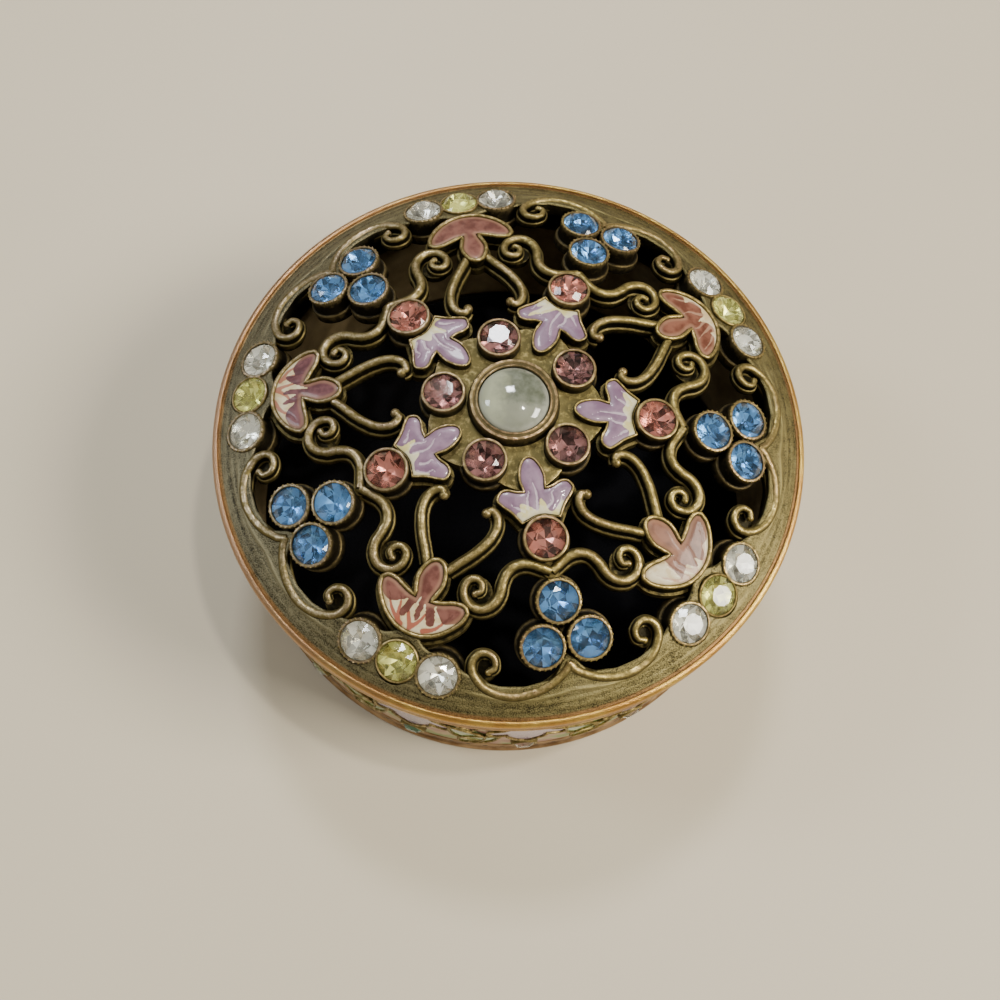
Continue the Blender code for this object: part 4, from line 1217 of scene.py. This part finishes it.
# Stone bezels: turned collars of the casting, rubbed over the stones. The blue and clear stones' collars
# also carry a row of tiny raised grains, and every collar but the yellow stones' stands on a wider foot.
TREFOIL_RING = 23.25 * MM
TREFOIL_PITCH = 4.45 * MM
BEZEL_LIP = 0.6 * MM
GRAINS = 26
GRAIN_RING = 2.1 * MM
TALL_COLLAR = ((2.46, -2.55, 0.1), (2.46, -1.68, 0.6), (2.38, -1.58, 0.5), (2.2, -1.54, 0.0),
               (2.14, -0.9, 0.1), (2.17, -0.3, 0.35), (2.17, -0.05, 0.75), (2.1, 0.09, 1.0),
               (1.98, 0.14, 1.0), (1.87, 0.11, 0.7), (1.83, 0.02, 0.2), (1.86, -0.25, 0.0),
               (1.3, -1.1, 0.0), (1.0, -1.7, 0.0), (1.0, -2.55, 0.0))
LOW_COLLAR = ((2.12, -1.3, 0.1), (2.12, -0.06, 0.4), (2.06, 0.06, 0.9), (1.97, 0.1, 1.0), (1.88, 0.07, 0.7),
              (1.83, 0.0, 0.2), (1.86, -0.25, 0.0), (1.4, -1.1, 0.0), (1.3, -1.4, 0.0))
MIDDLE_COLLAR = (
    (4.6, -2.0, 0.1), (4.6, -0.75, 0.4), (4.45, -0.65, 0.1), (4.32, -0.1, 0.4), (4.34, 0.3, 0.7),
    (4.2, 0.52, 1.0), (3.98, 0.56, 1.0), (3.84, 0.46, 0.5), (3.76, 0.46, 0.5), (3.66, 0.56, 0.9),
    (3.54, 0.58, 1.0), (3.46, 0.5, 0.7), (3.45, 0.2, 0.1), (3.45, -0.9, 0.0), (3.2, -0.95, 0.0),
    (3.2, -2.0, 0.0))


def stone_places():
    """Name, plan centre, and girdle height over the plate of every faceted stone."""
    slope = math.atan(float(dome_slope(TREFOIL_RING - TREFOIL_PITCH / 2)))
    inner = TREFOIL_RING - TREFOIL_PITCH * math.sin(math.pi / 3) * math.cos(slope)
    side = TREFOIL_PITCH / 2
    kinds = (("pink_stone", 0.0, PINK_RING, 0.0, BEZEL_LIP),
             ("amethyst", 0.0, AMETHYST_RING, HALF_SECTOR, BEZEL_LIP),
             ("blue_inner", 0.0, inner, 0.0, BEZEL_LIP),
             ("blue_left", -side, TREFOIL_RING, 0.0, BEZEL_LIP),
             ("blue_right", side, TREFOIL_RING, 0.0, BEZEL_LIP),
             ("yellow_stone", 0.0, YELLOW_RING, HALF_SECTOR, 0.0),
             ("clear_left", 0.0, YELLOW_RING, HALF_SECTOR + TRIPLE_TURN, 0.0),
             ("clear_right", 0.0, YELLOW_RING, HALF_SECTOR - TRIPLE_TURN, 0.0))
    return [(f"{kind}_{fold + 1}", turned([(across, out)], ray + shift)[0], lip)
            for fold, ray in enumerate(RAYS) for kind, across, out, shift, lip in kinds]


def dome_place(point, offset):
    """Frame on the dome whose Z is the dome's normal."""
    normal = outward_normal(point)
    outward = Vector((point.x, point.y, 0.0)).normalized() if point.length > 0.0 else Vector((1.0, 0.0, 0.0))
    across = normal.cross(outward).normalized()
    turn = Matrix((across.cross(normal), across, normal)).transposed().to_4x4()
    return Matrix.Translation(Vector((point.x, point.y, float(dome(point.length)) + offset))) @ turn


tall, low, grains = [], [], []
for name, point, lip in stone_places():
    place = dome_place(point, lip)
    facing = outward_normal(point)
    (low if name.startswith("yellow") else tall).append((place.translation, facing, 1.0))
    if name.startswith(("blue", "clear")):
        for k in range(GRAINS):
            angle = 2.0 * math.pi * k / GRAINS
            spot = Vector((math.cos(angle) * GRAIN_RING, math.sin(angle) * GRAIN_RING, 0.06 * MM))
            grains.append((place @ spot, facing, 1.0))
PINK_BRASS = brass_paint("coppery_collar_brass", (0.54, 0.4, 0.16), (0.5, 0.32, 0.17), (0.016, 0.012, 0.005),
                         0.22)
for name, profile, places, brass in (("tall_collar", TALL_COLLAR, tall, PINK_BRASS),
                                     ("low_collar", LOW_COLLAR, low, BRASS)):
    scattered(f"{name}s", lathe(profile, 48).mesh(name, 38.0), places, brass)
scattered("collar_grains", ball_mesh("collar_grain", 0.12 * MM, 0.85), grains, SCROLL_BRASS, 80.0)
top = float(dome(0.0)) / MM
profile = [(radius, top + height, worn) for radius, height, worn in MIDDLE_COLLAR]
add_piece("cabochon_collar", lathe(profile, 96), PINK_BRASS)

# Faceted stones: forty foil-backed glass brilliants, each pressed into its collar. The table gives each
# kind's glass and foil, the share of light in its darkest painted-reflection facets, and how milky its
# brightest are.
STONE_COLOURS = {
    "pink": ((0.95, 0.46, 0.4), (1.0, 0.8, 0.72), 0.24, 0.35),
    "blue": ((0.19, 0.47, 1.0), (0.92, 1.0, 1.0), 0.46, 0.5),
    "amethyst": ((0.66, 0.4, 0.4), (1.0, 0.8, 0.76), 0.18, 0.3),
    "yellow": ((0.96, 0.96, 0.36), (1.0, 1.0, 0.8), 0.7, 0.75),
    "clear": ((1.0, 0.99, 0.93), (1.0, 1.0, 0.94), 0.85, 0.85),
}
paints = {kind: stone_paints(kind, *colours) for kind, colours in STONE_COLOURS.items()}
stone_turns = np.random.default_rng(7)
for name, point, lip in stone_places():
    kind = name.split("_")[0]
    stone = Shape()
    tilt = Matrix.Rotation(math.radians(stone_turns.uniform(-2.5, 2.5)), 4, "X")
    spin = Matrix.Rotation(stone_turns.uniform(0.0, math.pi / 4), 4, "Z")
    brilliant(stone, dome_place(point, lip) @ tilt @ spin)
    cut = stone_mesh(f"{name}_cut", stone, paints[kind], int(stone_turns.integers(1, 9999)))
    add_piece(f"{name}_cut", cut, None, name)

# Cabochon: one polished button of milky glass with a slight green cast. It is glued into the middle
# collar on a crumpled pale foil that shines through it a little; its paler left side and bottom and its
# bright rim are painted light.
BUTTON_RADIUS = 3.42
BUTTON_RISE = 1.5
BUTTON_STEPS = 15


def moonstone_paint():
    """Clear milky glass with cloudy dark and light patches, and painted light: paler on the left and along
    the bottom, with a painted bright glow round the rim.
    """
    paint = Paint("milky_moonstone")
    cloud = paint.noise(1.3 * MM, 4.0)
    fine = paint.noise(0.4 * MM, 3.0)
    # Painted light: the left side is painted paler, as if lit.
    across = paint.part("X") + (cloud - 0.5) * 3.0 * MM
    left = 1.0 - paint.step(across, -2.4 * MM, -0.2 * MM)
    # Painted light: the bottom is painted paler.
    low = 1.0 - paint.step(paint.part("Y") + (fine - 0.5) * 1.2 * MM, -1.0 * MM, -0.4 * MM)
    # Painted highlight: a bright glow painted round the rim.
    rim = paint.step(paint.radius() + (cloud - 0.5) * 1.2 * MM, 2.7 * MM, 3.5 * MM)
    colour = paint.blend(cloud + (fine - 0.5) * 0.3, 0.3, 0.7, (0.13, 0.145, 0.1), (0.25, 0.27, 0.21))
    colour = paint.mix(low * 0.8, colour, (0.36, 0.375, 0.29))
    colour = paint.mix(left * 0.85, colour, (0.62, 0.65, 0.45))
    colour = paint.mix(rim * 0.6, colour, (0.62, 0.64, 0.55))
    bump = paint.bump(cloud, 0.12 * MM, 0.25)
    return paint.finish(Base_Color=colour, Roughness=0.05 + cloud * 0.06, IOR=1.5, Transmission_Weight=0.3,
                        Coat_Weight=0.3 + cloud * 0.2, Normal=bump)


def cabochon_foil_paint():
    paint = Paint("cabochon_foil")
    cloud = paint.noise(0.9 * MM, 4.0)
    crease = paint.noise(1.8 * MM, 2.0)
    colour = paint.blend(cloud, 0.42, 0.62, (0.95, 0.96, 0.9), (0.42, 0.47, 0.36))
    bump = paint.bump(crease, 0.9 * MM, 1.0)
    return paint.finish(Base_Color=colour, Metallic=0.9, Roughness=0.22 + cloud * 0.2, Normal=bump)


base = top + 0.1
button = [(0.0, base - 0.8, 0.0), (3.3, base - 0.8, 0.0), (BUTTON_RADIUS, base - 0.7, 0.0),
          (BUTTON_RADIUS, base, 0.0)]
for step in range(1, BUTTON_STEPS):
    angle = math.pi / 2 * step / BUTTON_STEPS
    button.append((BUTTON_RADIUS * math.cos(angle), base + BUTTON_RISE * math.sin(angle), 0.0))
button.append((0.0, base + BUTTON_RISE, 0.0))
add_piece("cabochon_button", lathe(button, 96), moonstone_paint(), "cabochon", 60.0)
foil = ((0.0, base - 0.98, 0.0), (3.38, base - 0.98, 0.0), (3.38, base - 0.85, 0.0), (0.0, base - 0.85, 0.0))
add_piece("cabochon_foil_disc", lathe(foil, 96), cabochon_foil_paint())

# Studio: a pale warm floor, a soft key light from the right, weaker windows behind and at the left and a
# small lamp above. The metal and the stones mirror a patchy bright sky, and behind them the camera sees a
# plain backdrop. The camera stands where the photograph was taken.
FLOOR_REACH = 2.0
LIGHT_TARGET = Vector((0.0, 0.0, 0.025))
# Name, place, size, power and colour of each light
LIGHTS = (("key_softbox", (1.0, -0.1, 0.88), (0.5, 0.4), 21.0, (1.0, 0.94, 0.82)),
          ("top_window", (-0.15, 0.75, 1.15), (0.22, 0.2), 8.0, (0.95, 0.98, 1.0)),
          ("small_lamp", (0.35, 0.1, 1.3), (0.06, 0.06), 5.0, (1.0, 0.95, 0.85)),
          ("left_window", (-0.95, 0.15, 0.75), (0.25, 0.35), 4.0, (0.82, 0.9, 1.0)))
CAMERA_RISE = math.radians(66.31)
CAMERA_DISTANCE = 3.7535 * LID_RADIUS
CAMERA_LENS = 39.78
CAMERA_YAW, CAMERA_PITCH, CAMERA_ROLL = -0.0028, 0.0633, -0.1075


def add_floor():
    mesh = bpy.data.meshes.new("studio_floor")
    corners = [(x * FLOOR_REACH, y * FLOOR_REACH, 0.0) for x, y in ((-1, -1), (1, -1), (1, 1), (-1, 1))]
    mesh.from_pydata(corners, [], [(0, 1, 2, 3)])
    paint = Paint("pale_warm_floor")
    cloud = paint.noise(60.0 * MM, 2.0)
    colour = paint.mix(cloud, (0.565, 0.495, 0.37), (0.605, 0.535, 0.41))
    mesh.materials.append(paint.finish(Base_Color=colour, Roughness=0.5))
    new_object("studio_floor", mesh)


def add_light(name, place, size, power, colour):
    data = bpy.data.lights.new(name, "AREA")
    data.shape = "RECTANGLE"
    data.size, data.size_y = size
    data.energy = power
    data.color = colour
    light = new_object(name, data)
    light.location = place
    light.rotation_euler = (LIGHT_TARGET - Vector(place)).to_track_quat("-Z", "Y").to_euler()


def add_camera():
    data = bpy.data.cameras.new("photo_camera")
    data.lens = CAMERA_LENS
    data.clip_start = 0.005
    data.clip_end = 10.0
    camera = new_object("photo_camera", data)
    back = Vector((0.0, -math.cos(CAMERA_RISE), math.sin(CAMERA_RISE)))
    right = Vector((1.0, 0.0, 0.0))
    look = Matrix((right, back.cross(right), back))
    for angle, axis in ((CAMERA_YAW, "Y"), (CAMERA_PITCH, "X"), (CAMERA_ROLL, "Z")):
        look = Matrix.Rotation(angle, 3, axis) @ look
    place = Matrix.Translation(back * CAMERA_DISTANCE + Vector((0, 0, LID_EDGE)))
    camera.matrix_world = place @ look.transposed().to_4x4()
    bpy.context.scene.camera = camera


add_floor()
for light in LIGHTS:
    add_light(*light)
world = bpy.data.worlds.new("studio_world")
world.use_nodes = True
sky = world.node_tree
around = sky.nodes.new("ShaderNodeTexCoord")
patches = sky.nodes.new("ShaderNodeTexNoise")
patches.inputs["Scale"].default_value = 2.6
patches.inputs["Detail"].default_value = 1.0
ramp = sky.nodes.new("ShaderNodeValToRGB")
ramp.color_ramp.elements[0].position = 0.4
ramp.color_ramp.elements[0].color = (0.1, 0.095, 0.08, 1.0)
ramp.color_ramp.elements[1].position = 0.62
ramp.color_ramp.elements[1].color = (1.0, 0.94, 0.81, 1.0)
sky.links.new(around.outputs["Generated"], patches.inputs["Vector"])
sky.links.new(patches.outputs["Fac"], ramp.inputs["Fac"])
seen = sky.nodes.new("ShaderNodeLightPath")
backdrop = sky.nodes.new("ShaderNodeMix")
backdrop.data_type = "RGBA"
backdrop.inputs[7].default_value = (0.86, 0.8, 0.7, 1.0)
sky.links.new(seen.outputs["Is Camera Ray"], backdrop.inputs[0])
sky.links.new(ramp.outputs["Color"], backdrop.inputs[6])
sky.links.new(backdrop.outputs[2], sky.nodes["Background"].inputs["Color"])
sky.nodes["Background"].inputs["Strength"].default_value = 0.62
bpy.context.scene.world = world
add_camera()
